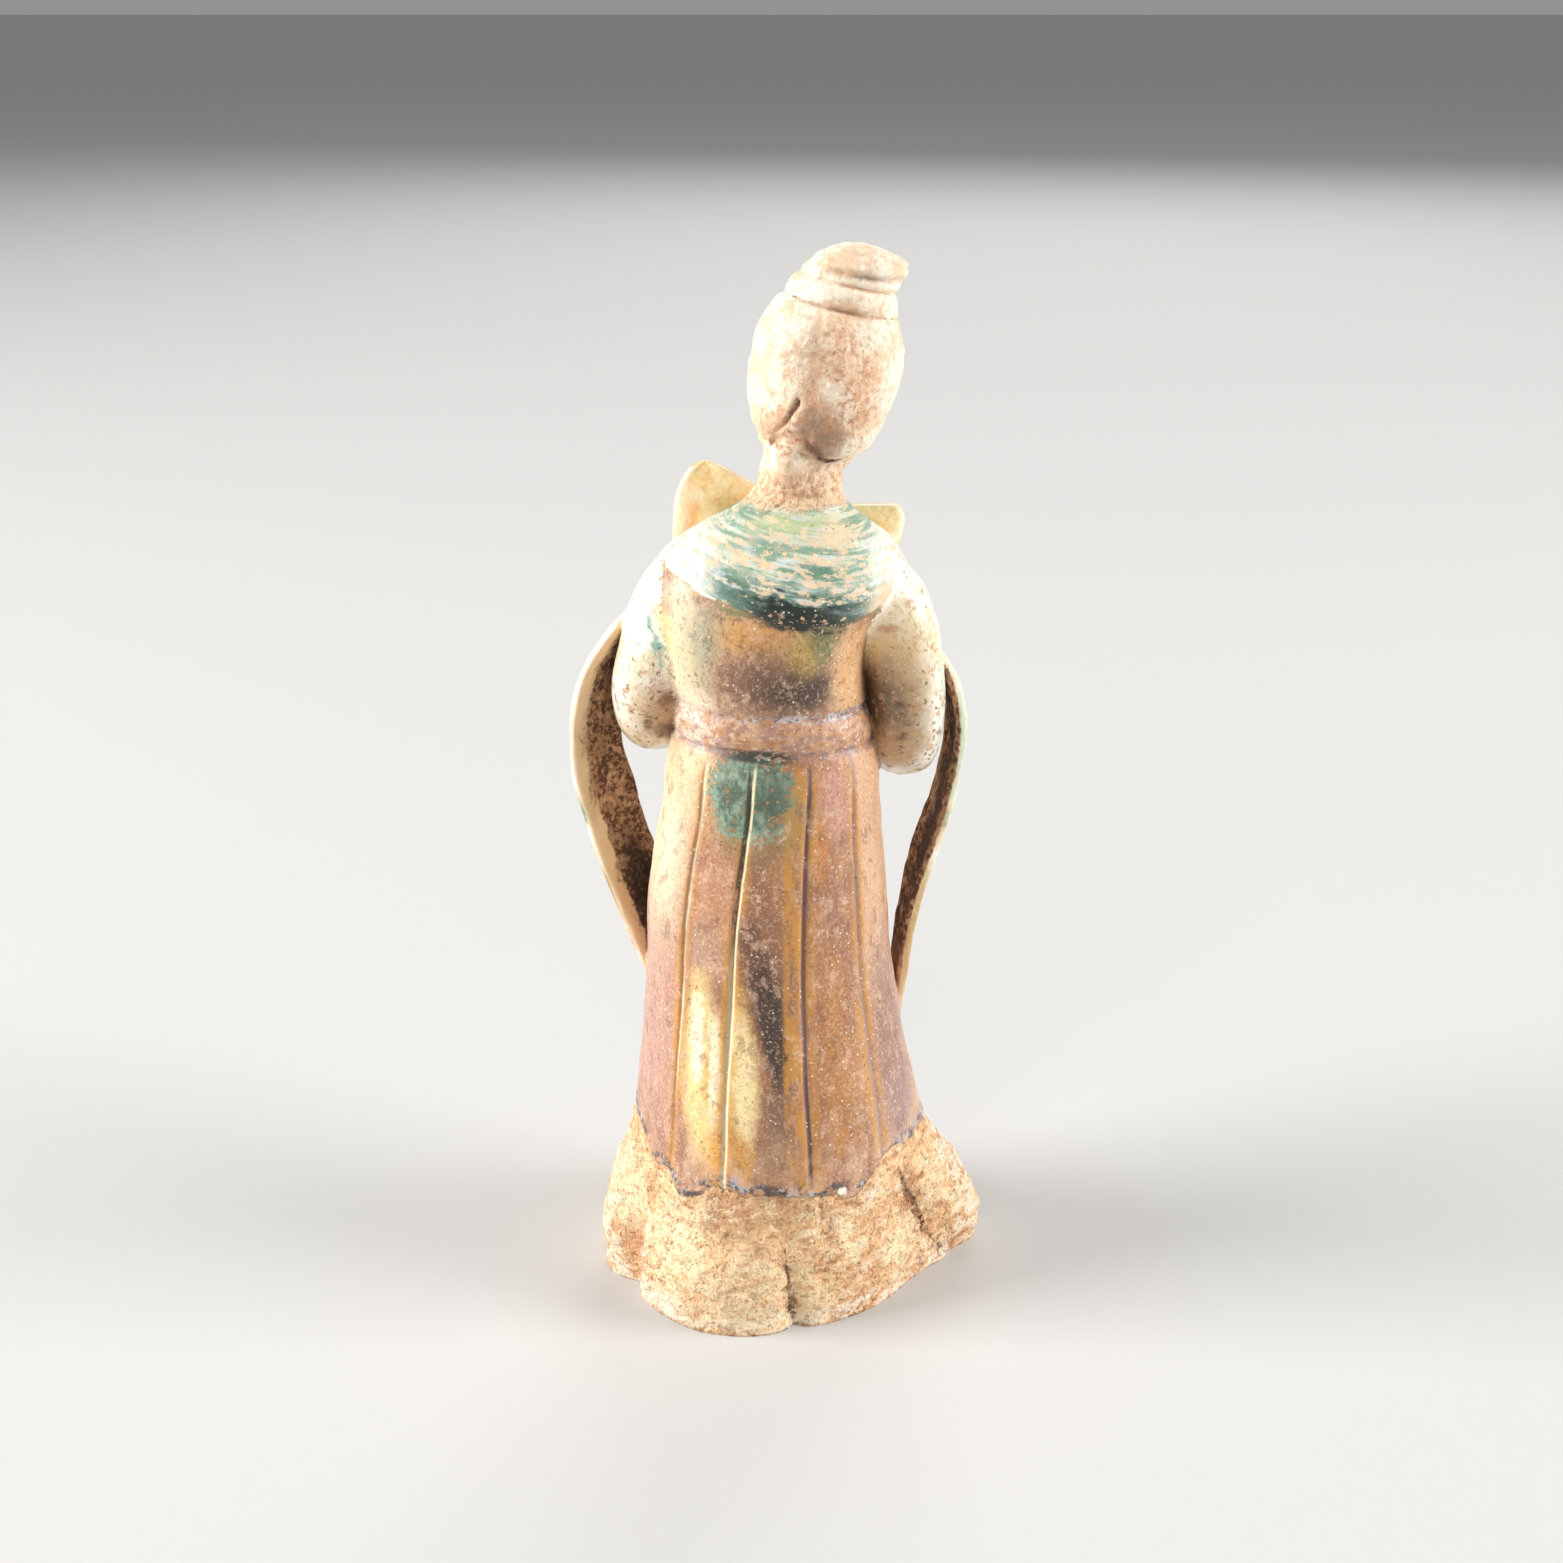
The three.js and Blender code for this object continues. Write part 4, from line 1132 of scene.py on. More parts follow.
class Recipe:
    def __init__(self, name):
        self.material = bpy.data.materials.new(name)
        self.material.use_nodes = True
        self.tree = self.material.node_tree
        self.tree.nodes.clear()
        place = self.node("ShaderNodeTexCoord", {}, {}, "Object")
        self.place = self.vector("SCALE", place, size=1 / millimetre)
        self.x, self.y, self.z = self.axes(self.place)
        self.hollow = self.attribute("hollow")
        self.grain = self.cloud(0.9, 4.0, 55.0).rise(0.3, 0.5) * 0.4 + 0.65

    def node(self, kind, settings, inputs, output=0):
        made = self.tree.nodes.new(kind)
        for name, value in settings.items():
            setattr(made, name, value)
        for socket, value in inputs.items():
            if isinstance(value, Amount):
                self.tree.links.new(value.socket, made.inputs[socket])
            else:
                made.inputs[socket].default_value = value
        return Amount(self, made.outputs[output])

    def vector(self, operation, a, b=None, size=None, output=0):
        inputs = {0: a}
        if b is not None:
            inputs[1] = b
        if size is not None:
            inputs["Scale"] = size
        return self.node("ShaderNodeVectorMath", {"operation": operation}, inputs, output)

    # Mixes one colour over another. A plain colour is given as it is seen on a screen.
    def blend(self, under, over, share):
        under, over = [tint(*c) if isinstance(c, tuple) else c for c in (under, over)]
        return self.node("ShaderNodeMix", {"data_type": "RGBA"}, {0: share, 6: under, 7: over}, 2)

    # Lays coats over a colour one after another. A coat has a colour and a share.
    def coats(self, colour, *coats):
        for over, share in coats:
            colour = self.blend(colour, over, share)
        return colour

    def axes(self, vector):
        return [self.node("ShaderNodeSeparateXYZ", {}, {0: vector}, i) for i in range(3)]

    def attribute(self, name, output="Fac"):
        settings = {"attribute_name": name, "attribute_type": "GEOMETRY"}
        return self.node("ShaderNodeAttribute", settings, {}, output)

    # Cloudy noise, 0 to 1. size is in millimetres along x, y and z of the place.
    def cloud(self, size, detail=3.0, seed=0.0, output=0, place=None):
        shares = (1 / np.broadcast_to(size, 3)).tolist()
        scaled = self.vector("MULTIPLY", self.place if place is None else place, shares)
        moved = self.vector("ADD", scaled, (seed, seed * 0.7, seed * 1.3))
        inputs = {"Vector": moved, "Scale": 1.0, "Detail": detail, "Roughness": 0.6}
        return self.node("ShaderNodeTexNoise", {}, inputs, output)

    # Distance to the nearest of scattered points, as a share of their mean distance.
    def scatter(self, size, seed=0.0):
        moved = self.vector("ADD", self.place, (seed, seed * 1.7, seed * 0.3))
        return self.node("ShaderNodeTexVoronoi", {}, {"Vector": moved, "Scale": 1 / size})

    # The place moved about by cloudy noise, so that the edges of patches wander.
    def wander(self, size, reach):
        centred = self.vector("SUBTRACT", self.cloud(size, 5.0, 0.0, "Color"), (0.5, 0.5, 0.5))
        return self.vector("ADD", self.place, self.vector("SCALE", centred, size=reach))

    # 1 inside an ellipsoid, 0 outside it, over a soft edge.
    def patch(self, place, centre, radii, soft=0.65):
        away = self.vector("SUBTRACT", place, centre)
        shares = self.vector("MULTIPLY", away, [1 / r for r in radii])
        return self.vector("LENGTH", shares, output=1).rise(1 + soft, 1 - soft)

    # 1 within the half width of a line from start to end, 0 beyond it. The line tapers
    # towards both ends.
    def stroke(self, place, start, end, half, soft=0.6):
        run = np.array(end, float) - np.array(start, float)
        away = self.vector("SUBTRACT", place, start)
        share = self.vector("DOT_PRODUCT", away, (run / run.dot(run)).tolist(), output=1)
        share = share.most(0.0).least(1.0)
        nearest = self.vector("SCALE", run.tolist(), size=share)
        length = self.vector("LENGTH", self.vector("SUBTRACT", away, nearest), output=1)
        fromMiddle = share - 0.5
        length = length + fromMiddle * fromMiddle * (2.4 * half)
        return length.rise(half * (1 + soft), half * (1 - soft))

    # Lays a list of stains over a colour. A stain has a colour, a share, and an ellipsoid
    # as (centre, radii) or a stroke as (start, end, half width). Fine noise makes each
    # one a little grainy.
    def stain(self, colour, place, stains, times=1.0):
        for shade, share, *form in stains:
            mask = self.patch(place, *form) if len(form) == 2 else self.stroke(place, *form)
            colour = self.blend(colour, shade, mask * self.grain * (share * times))
        return colour

    def finish(self, colour, roughness, height, depth, coat=None):
        inputs = {"Height": height, "Distance": depth * millimetre, "Strength": 1.0}
        normal = self.node("ShaderNodeBump", {}, inputs)
        inputs = {"Base Color": colour, "Roughness": roughness, "Normal": normal}
        if coat is not None:
            inputs["Coat Weight"] = coat
            inputs["Coat Roughness"] = 0.22
        shader = self.node("ShaderNodeBsdfPrincipled", {}, inputs)
        output = self.tree.nodes.new("ShaderNodeOutputMaterial")
        self.tree.links.new(shader.socket, output.inputs[0])
        return self.material


# Bare clay: a rough buff body, darker in its pits and paler where it stands proud, with patches of
# cream slip, rosy dirt and chalky rubbed spots, and painted shade in its narrow creases. Colours are as
# seen on a screen.
clay = {
    "deepCreaseShade": (98, 64, 42),
    "dark": (184, 130, 88),
    "body": (236, 186, 136),
    "pale": (250, 214, 162),
    "slip": (254, 234, 190),
    "smear": (254, 230, 184),
    "rosy": (218, 160, 120),
    "chalk": (252, 242, 224),
    "pit": (170, 120, 80),
    "shade": (176, 128, 90),
}


def bareClay(r, slipShare):
    crease = r.attribute("crease")
    broad = r.cloud(13, 4, 3.1)
    middle = r.cloud([4.4, 4.4, 2.6], 6, 7.7)
    grain = r.cloud(0.8, 3, 1.3)
    level = broad * 0.3 + middle * 0.5 + grain * 0.2
    rosy = r.cloud(8, 4, 12.5).rise(0.48, 0.62)
    lows = 0.58 - 0.05 * slipShare
    slip = (broad * 0.4 + r.cloud([7, 7, 4], 6, 23) * 0.45 + grain * 0.15).rise(lows, lows + 0.09)
    chalk = r.hollow.rise(-0.1, -0.3) * middle.rise(0.44, 0.54)
    pits = (grain * 0.6 + r.cloud(1.7, 3, 61) * 0.4).rise(0.43, 0.38)
    smear = (r.cloud([6, 6, 3.6], 5, 88) * 0.8 + grain * 0.2).rise(0.54, 0.62)
    colour = r.coats(
        r.blend(clay["dark"], clay["body"], level.rise(0.39, 0.49)),
        (clay["rosy"], rosy * 0.5),
        (clay["pale"], level.rise(0.47, 0.6) * 0.8),
        (clay["slip"], slip * 0.85),
        (clay["chalk"], chalk * 0.6),
        (clay["smear"], smear * 0.65),
        (clay["pit"], pits * 0.4),
        # Painted shade in narrow creases.
        (clay["shade"], crease.rise(0.08, 0.26) * 0.4),
        (clay["deepCreaseShade"], crease.rise(0.34, 0.6) * 0.8),
    )
    return colour, level * 3.2 + grain * 0.6 + slip * 0.4 - pits * 0.6


# Skirt: thin amber glaze over mauve-brown, run and pooled. Stains are placed in millimetres.
skirtGlaze = {
    "mauve": (162, 112, 78),
    "rosyMauve": (184, 134, 108),
    "amberStreak": (182, 122, 56),
    "darkStreak": (144, 96, 68),
    "paleSide": (222, 176, 138),
    "paleBlotch": (208, 168, 140),
    "darkBlotch": (134, 90, 62),
    "darkMottle": (126, 84, 58),
    "paleMottle": (236, 206, 174),
    "amberRun": (204, 142, 58),
}
skirtStains = [
    [(248, 228, 188), 0.95, (33, 4, 122), (9, 24, 28)],
    [(242, 210, 160), 0.8, (21, 14, 138), (6, 10, 10)],
    [(196, 150, 134), 0.8, (33, 10, 74), (7, 24, 28)],
    [(206, 152, 138), 0.6, (-12, 17, 133), (5, 9, 9)],
    [(200, 132, 66), 0.8, (-8.4, 20, 130), (-9, 23, 112), 2.6],
    [(206, 148, 110), 0.6, (16, 19, 112), (6, 10, 14)],
    [(190, 150, 128), 0.7, (19, 21, 96), (4.5, 9, 7)],
    [(186, 126, 66), 0.8, (-12, 24, 96), (-14, 30, 46), 5],
    [(206, 142, 70), 0.8, (-19.5, 20, 84), (-21.5, 23, 50), 3.6],
    [(154, 114, 100), 0.95, (-26, 12, 68), (7.4, 12, 30)],
    [(160, 126, 122), 0.8, (-29, 14, 50), (6, 9, 12)],
    [(146, 100, 70), 0.8, (6, 24, 116), (4, 28, 84), 7],
    [(104, 68, 50), 0.95, (9, 25, 103), (4, 27.8, 80), 4.4],
    [(56, 38, 33), 1.0, (5.4, 26.6, 92), (0.4, 30.6, 64), 4.2],
    [(128, 98, 78), 0.85, (2, 31, 64), (1.4, 33.6, 50), 4.4],
    [(168, 130, 100), 0.7, (3, 34, 46), (8, 7, 6)],
    [(214, 150, 58), 0.85, (27, 20, 84), (26.4, 24, 58), 2],
    [(214, 158, 78), 0.9, (19, 25, 78), (17.6, 32, 40), 6],
    [(246, 212, 140), 1.0, (21.4, 23.4, 89), (20.4, 29, 46), 5],
    [(252, 240, 208), 0.95, (21.8, 23.4, 84), (21.6, 26, 64), 2.2],
    [(250, 234, 196), 0.9, (17.6, 25.6, 80), (17.4, 29.6, 52), 1.9],
    [(226, 176, 88), 0.7, (20, 25, 78), (19.6, 29, 54), 1.1],
    [(210, 168, 92), 0.95, (12.6, 26.4, 88), (9.4, 33, 46), 3.8],
    [(244, 222, 164), 1.0, (11.8, 27.6, 82), (9.4, 32.4, 50), 3.2],
    [(206, 148, 60), 0.85, (10.6, 33.4, 50), (10.4, 34.4, 40), 3],
    [(228, 166, 66), 0.85, (17, 31.4, 50), (16.6, 33.6, 39), 2],
]
frontStains = [
    [(206, 148, 66), 0.85, (-20, -19, 104), (-20, -25, 50), 4.4],
    [(244, 216, 152), 0.95, (-13, -23, 96), (-12.6, -28, 50), 4.2],
    [(220, 176, 104), 0.8, (20, -18, 116), (23, -24, 54), 4],
    [(112, 76, 56), 0.8, (11, -24, 100), (10, -28, 64), 4],
    [(208, 160, 140), 0.7, (-26, -12, 84), (8, 14, 30)],
    [(214, 168, 148), 0.7, (30, -10, 70), (8, 14, 24)],
]
darkRun = [[(62, 42, 38), 0.75, (3.4, 27.6, 84), (0, 30.6, 64), 2.8]]


def paintSkirt(r):
    x, z, clouds, streaks, mottle = r.x, r.z, r.clouds, r.streaks, r.mottle
    colour = r.coats(
        r.blend(skirtGlaze["mauve"], skirtGlaze["rosyMauve"], clouds.rise(0.42, 0.62)),
        (skirtGlaze["amberStreak"], (streaks * 0.5 + clouds * 0.5).rise(0.49, 0.57) * 0.7),
        (skirtGlaze["darkStreak"], (streaks + r.haze).rise(0.96, 0.84) * 0.6),
        (skirtGlaze["paleSide"], (x - z * 0.06).rise(-22.8, -25.6) * 0.8),
    )
    colour = r.stain(colour, r.wander(4, 3.4), skirtStains)
    colour = r.stain(colour, r.wander(5, 5), frontStains)
    blotch = r.cloud([3.4, 3.4, 5], 5, 76)
    colour = r.coats(
        colour,
        (skirtGlaze["paleBlotch"], blotch.rise(0.55, 0.63) * 0.5),
        (skirtGlaze["darkBlotch"], blotch.rise(0.44, 0.36) * 0.5),
    )
    colour = r.stain(colour, r.bent, darkRun)
    # Amber runs along both sides of the pleats, widest left of the third.
    amber = r.offPleat.rise(3.4, 1.0) * 0.75
    amber = amber.most(r.pleat.between(-5.0, 0, 0.6) * r.offPleat.rise(5.2, 4.2) * r.byThird)
    amber = amber * z.rise(143, 139) * r.cloud([4, 4, 13], 4, 21).rise(0.38, 0.56)
    return r.coats(
        colour,
        (skirtGlaze["darkMottle"], mottle.rise(0.48, 0.38) * 0.3),
        (skirtGlaze["paleMottle"], mottle.rise(0.54, 0.64) * 0.35),
        (skirtGlaze["amberRun"], amber * 0.8),
    )


# Green glaze splashed below the belt, flaked off in spots.
splash = {
    "pale": (132, 160, 138),
    "teal": (72, 102, 86),
    "dark": (58, 84, 70),
    "halo": (146, 128, 80),
}


def paintSplash(r, colour):
    flaked = r.haze * 0.5 + r.fine * 0.5 + (r.cloud(1.9, 5, 47) - 0.5) * 0.5
    near = r.patch(r.bent, (8.4, 20, 135), (10.4, 9, 11.4), 0.5)
    halo = r.patch(r.bent, (7, 20, 130), (12, 9, 12), 0.4)
    core = r.patch(r.bent, (2.6, 21, 133), (4.6, 8, 6)) * (r.fine + 0.2)
    teal = r.blend(splash["pale"], splash["teal"], (r.haze + r.fine * 0.6).rise(0.9, 0.7))
    teal = r.blend(teal, splash["dark"], core)
    covered = (flaked + near * 0.25).rise(0.6, 0.69) * near.rise(0.1, 0.6)
    return r.coats(colour, (splash["halo"], halo * 0.5), (teal, covered * 0.92))


# Glaze in the pleats: cream in the first, dark and cream in the second, violet brown in the third, grey
# in the fourth. The cream lines of the first and second pleats are partly glaze and partly painted
# highlight.
pleatGlaze = {
    "brown": (168, 118, 76),
    "cream": (250, 240, 206),
    "dark": (50, 46, 34),
    "drab": (196, 178, 146),
    "ivory": (246, 230, 186),
    "violet": (122, 90, 88),
    "deepViolet": (84, 62, 66),
    "grey": (160, 140, 140),
}


def paintPleats(r, colour):
    x, z = r.x, r.z
    inPleats = z.rise(143.5, 140.5) * z.rise(36, 39) * r.offPleat.rise(3, 2)
    first = x.rise(17.8, 19.4) * inPleats * z.rise(52, 70)
    second = x.between(4.6, 18.6, 0.8) * inPleats
    third = r.byThird * inPleats
    fourth = x.rise(-11.6, -13.2) * inPleats
    wavy = r.pleat + (r.haze - 0.5) * 0.5
    runs = r.cloud([2, 2, 9], 3, 40).rise(0.4, 0.46)
    dark = r.blend(pleatGlaze["dark"], pleatGlaze["drab"], z.rise(106, 92))
    violet = r.blend(pleatGlaze["violet"], pleatGlaze["deepViolet"], z.rise(80, 60))
    return r.coats(
        colour,
        (pleatGlaze["brown"], wavy.between(-0.8, 0.8) * first * 0.6),
        # Cream along the first pleat: partly glaze, partly painted highlight.
        (pleatGlaze["cream"], wavy.between(-0.3, 0.3, 0.2) * first * (r.haze + 0.3)),
        (dark, wavy.between(-0.75, 0.1, 0.2) * second * runs * 0.85),
        # Ivory beside the second pleat: partly glaze, partly painted highlight.
        (pleatGlaze["ivory"], wavy.between(0.2, 0.75, 0.2) * second * (r.haze + 0.3)),
        (violet, wavy.between(-0.45, 0.45, 0.2) * third * 0.9),
        (pleatGlaze["grey"], wavy.between(-0.5, 0.35, 0.2) * fourth * 0.8),
    )


# Bodice: peach and brown, with a dark smoky pool over the belt and green and amber stains
# under the scarf.
bodiceGlaze = {
    "peach": (196, 150, 110),
    "brown": (160, 118, 88),
    "paleCrumb": (210, 176, 142),
    "darkCrumb": (112, 80, 60),
}
bodiceStains = [
    [(246, 232, 196), 0.9, (24.5, 9, 168), (3.6, 9, 18)],
    [(206, 190, 150), 0.85, (21.5, 14, 169), (5, 10, 12)],
    [(140, 146, 118), 0.75, (17, 18, 174), (6, 8, 5)],
    [(150, 150, 122), 0.5, (19, 16, 166), (3, 8, 7)],
    [(242, 220, 192), 0.8, (21, 13, 154.5), (6, 12, 5)],
    [(208, 150, 80), 0.85, (8.4, 21.9, 174.4), (8, 8, 4.4)],
    [(146, 106, 84), 0.8, (8, 21, 164), (9, 9, 7)],
    [(196, 148, 96), 0.7, (-1, 22, 170), (5, 8, 5)],
    [(104, 76, 58), 0.9, (-1, 20.6, 161.4), (12, 9, 7)],
    [(60, 42, 34), 0.95, (-4, 20, 160.6), (7, 9, 4)],
    [(176, 148, 70), 0.8, (-4.4, 20.8, 171.4), (3.6, 8, 6.4)],
    [(92, 106, 62), 0.85, (-9, 19.2, 173), (3.4, 8, 5.8)],
    [(220, 172, 124), 0.85, (-15, 12.6, 162), (4.2, 10, 12)],
    [(220, 166, 92), 0.6, (-14.6, 13, 168.4), (-14, 13.2, 157.6), 1.2],
]


def paintBodice(r):
    fog = (r.clouds + r.fine * 0.3).rise(0.58, 0.74)
    colour = r.blend(bodiceGlaze["peach"], bodiceGlaze["brown"], fog)
    colour = r.stain(colour, r.wander(6, 5), bodiceStains)
    crumbs = r.mottle * 0.5 + r.cloud([1.6, 1.6, 2.2], 5, 98) * 0.5
    return r.coats(
        colour,
        (bodiceGlaze["paleCrumb"], crumbs.rise(0.51, 0.6) * 0.5),
        (bodiceGlaze["darkCrumb"], crumbs.rise(0.48, 0.4) * 0.6),
    )


# Belt: rosy amber, frosty glaze in its upper groove and dark green in its lower one.
beltGlaze = {
    "amber": (204, 156, 116),
    "rosy": (188, 136, 118),
    "paleEnd": (244, 222, 200),
    "mauve": (168, 132, 118),
    "amberStain": (196, 130, 66),
    "paleCrumb": (240, 206, 170),
    "darkCrumb": (138, 98, 76),
    "frost": (206, 204, 208),
    "slate": (96, 84, 88),
    "dirt": (150, 126, 122),
    "green": (44, 48, 36),
}


def paintBelt(r, colour):
    x, y, belt, haze, fine, crumb = r.x, r.y, r.belt, r.haze, r.fine, r.crumb
    pink = r.cloud([5, 5, 2.5], 4, 50).rise(0.46, 0.6)
    band = r.coats(
        r.blend(beltGlaze["amber"], beltGlaze["rosy"], pink),
        (beltGlaze["paleEnd"], x.rise(12, 19) * 0.8),
        (beltGlaze["mauve"], (pink * 0.4 + r.mottle).rise(0.5, 0.62) * 0.6),
        (beltGlaze["amberStain"], r.cloud([4, 4, 3], 4, 52).rise(0.52, 0.62) * 0.7),
        (beltGlaze["paleCrumb"], crumb.rise(0.52, 0.62) * (pink * 0.5 + 0.2)),
        (beltGlaze["darkCrumb"], crumb.rise(0.46, 0.36) * (0.75 - pink * 0.45)),
    )
    uneven = abs(belt) + (haze - 0.5) * 4
    patchy = r.cloud([6, 6, 2.5], 4, 60)
    frost = r.blend(beltGlaze["slate"], beltGlaze["frost"], (fine * 0.6 + haze * 0.4).rise(0.44, 0.54))
    upper = belt.between(3.6, 5.9, 0.5) * (patchy + (crumb - 0.5) * 0.7).rise(0.42, 0.5)
    lower = belt.between(-5.6, -3.4, 0.6) * (patchy + (fine - 0.5) * 0.6).rise(0.42, 0.54)
    darkGroove = belt.between(-6.2, -3.2, 0.6) * x.between(-2, 14, 3) * y.rise(0, 6)
    return r.coats(
        colour,
        (band, uneven.rise(5.6, 4.2) * y.rise(-2, 2).most(0.6)),
        (frost, upper * x.rise(15, 10) * 0.75),
        (beltGlaze["dirt"], lower * (crumb + 0.3)),
        (beltGlaze["green"], darkGroove * (patchy + crumb).rise(0.86, 1.0) * 0.95),
    )


# Scarf across the shoulders: bands of green and pale glaze with peach dirt and bluish bloom caught on
# its folds. Along its lower edge a wide green run and a dark pool inside it, and a white line of
# painted highlight near its end on her left.
scarfGlaze = {
    "pale": (218, 218, 194),
    "green": (132, 162, 138),
    "lowGreen": (92, 128, 110),
    "white": (246, 246, 236),
    "peach": (242, 208, 168),
    "bloom": (208, 218, 218),
    "run": (66, 98, 84),
    "pool": (22, 34, 28),
    "crumb": (226, 184, 144),
    "olive": (116, 122, 70),
    # painted highlight along the lower edge on her left
    "lip": (252, 250, 240),
}
scarfUnderDirt = [
    [(188, 200, 148), 0.85, (-1, 12, 198.4), (10, 6, 2.6)],
    [(164, 188, 162), 0.85, (18.5, 12.4, 191.4), (5.4, 6, 3)],
    [(126, 160, 134), 0.9, (8, 15, 193.8), (-3, 15.6, 191.6), 1.6],
    [(98, 138, 118), 0.9, (0, 17.8, 186.8), (-13, 17, 186), 1.8],
    [(122, 148, 138), 0.85, (18.8, 15.8, 186), (12, 19.4, 183.4), 1.7],
    [(150, 182, 162), 0.8, (-14, 14.6, 188), (-21, 12, 189.6), 1.3],
]
scarfOverDirt = [
    [(240, 206, 164), 0.8, (9.4, 14.8, 191.4), (3.4, 16.2, 189.4), 1.3],
    [(242, 212, 172), 0.8, (-11.4, 11.8, 195.4), (4.2, 5, 1.7)],
    [(242, 214, 176), 0.75, (-10, 16.3, 189), (2.4, 4, 1)],
    [(214, 222, 222), 0.85, (0.4, 16.6, 190), (3.6, 4, 1.1)],
    [(206, 212, 214), 0.8, (-2, 19.4, 184.4), (-14, 17.6, 184), 0.8],
    [(238, 204, 160), 0.8, (-23, 9.6, 181), (5, 6, 4)],
    [(176, 200, 182), 0.7, (-26.4, 9, 180), (1.8, 4, 1.8)],
    [(104, 98, 62), 0.8, (-16.4, 14, 177.6), (-23, 9.4, 177), 1.3],
]


def paintScarf(r, colour):
    x, y, z, bent, fine, crumb = r.x, r.y, r.z, r.bent, r.fine, r.crumb
    draped = r.node("ShaderNodeCombineXYZ", {}, {0: x, 1: y, 2: r.overEdge})
    bands = r.cloud([15, 15, 1.2], 5, 70, 0, draped)
    crumbs = r.cloud([3, 3, 1.7], 6, 90, 0, draped)
    level = r.overEdge + (bands - 0.5) * 9 + (crumbs - 0.5) * 3
    peach = (crumbs + level.between(4.5, 14, 2) * 0.05).rise(0.55, 0.6)
    bloom = r.cloud([6, 6, 0.8], 5, 75, 0, draped) + level.between(2.5, 9, 1.5) * 0.05
    cloth = r.blend(scarfGlaze["pale"], scarfGlaze["green"], (bands + fine * 0.3).rise(0.54, 0.74))
    cloth = r.stain(cloth, bent, scarfUnderDirt)
    cloth = r.coats(
        cloth,
        (scarfGlaze["lowGreen"], level.rise(9, 5) * 0.85),
        (scarfGlaze["white"], (abs(x + 2) + (crumbs - 0.5) * 12).rise(15, 23) * 0.85),
        (scarfGlaze["peach"], peach * 0.8),
        (scarfGlaze["bloom"], bloom.rise(0.55, 0.66) * (crumbs + 0.2) * 0.85),
    )
    cloth = r.stain(cloth, bent, scarfOverDirt)
    onScarf = r.overEdge.rise(-0.8, 0.1).most(r.frontScarf) * z.rise(203.4, 201.6)

    back = y.rise(4, 8)
    run = x.between(-18, 15, 4) * level.between(-1.2, 4.6, 1.4) * back
    ragged = level + (fine - 0.5) * 3 + (crumbs - 0.5) * 5
    pool = (x + (crumbs - 0.5) * 14).between(-13.5, 6.5, 4) * ragged.between(-1.8, 4.6, 1.2) * back
    caught = ragged.between(-1.6, 2.4, 1) * x.between(-24, 12, 3) * back
    caught = caught * (fine * 0.5 + crumb * 0.5).rise(0.55, 0.59)
    olive = r.stroke(bent, (16.6, 18.2, 181.2), (7, 21.6, 177.4), 1.3)
    # A painted highlight: a white line along the lower edge of the scarf on her left.
    lip = r.stroke(r.place, (22.4, 14, 184.9), (16.4, 17.9, 182.5), 0.6)
    return r.coats(
        colour,
        (cloth, onScarf),
        (scarfGlaze["run"], run * (1.2 - crumbs * 0.6) * x.rise(20, 7)),
        (scarfGlaze["pool"], pool * (1.25 - crumbs * 0.5)),
        (scarfGlaze["crumb"], caught * 0.8),
        (scarfGlaze["olive"], olive * 0.8),
        (scarfGlaze["lip"], lip * 0.85),
    )


# The two ends of the sash and its bow, on the front.
sashGlaze = {
    "pale": (212, 204, 164),
    "green": (112, 140, 112),
    "edge": (78, 106, 84),
}


def paintSash(r, colour):
    x, y, z, streaks = r.x, r.y, r.z, r.streaks
    bowFront = (bow["centre"] - [0, 1, 0]).tolist()
    for middle, slant, foot in sashEnds:
        down = gown["skirtTop"] - z
        across = x - (down * slant + middle)
        off = abs(across) - down * front["sashWidening"]
        overFoot = z - foot - across * 0.5
        mask = off.rise(2.9, 2.3) * overFoot.rise(-0.4, 0.4) * z.rise(147, 145.6) * y.rise(-2, -8)
        mask = mask.most(r.patch(r.place, bowFront, (9.4, 4, 3.4), 0.1))
        sash = r.blend(sashGlaze["pale"], sashGlaze["green"], (streaks + r.haze * 0.7).rise(0.72, 0.94))
        sash = r.blend(sash, sashGlaze["edge"], off.rise(0.4, 2.0) * (streaks + 0.2))
        colour = r.blend(colour, sash, mask * 0.9)
    return colour


# Pale ridge and green run at her left armhole, shared by gown and sleeve. The pale along the ridge is
# partly glaze and partly painted highlight.
armholeStainsAndHighlight = [
    [(248, 228, 164), 0.9, (28.4, 8.6, 181), (26.6, 9.4, 168), 1.9],
    [(248, 230, 176), 0.8, (26.6, 9.4, 168), (26, 9.6, 160), 1.3],
    [(126, 172, 150), 0.85, (31.6, 8.6, 176), (29.4, 8.4, 163.6), 1.1],
]

# Dusty bloom, dirt in the hollows, and white and dark specks over all the glaze.
dust = {
    "bloom": (224, 190, 160),
    "lowBloom": (222, 184, 152),
    "dirt": (132, 92, 62),
    "speck": (252, 240, 224),
    "darkSpeck": (104, 70, 50),
    "frontAmber": (232, 186, 104),
}


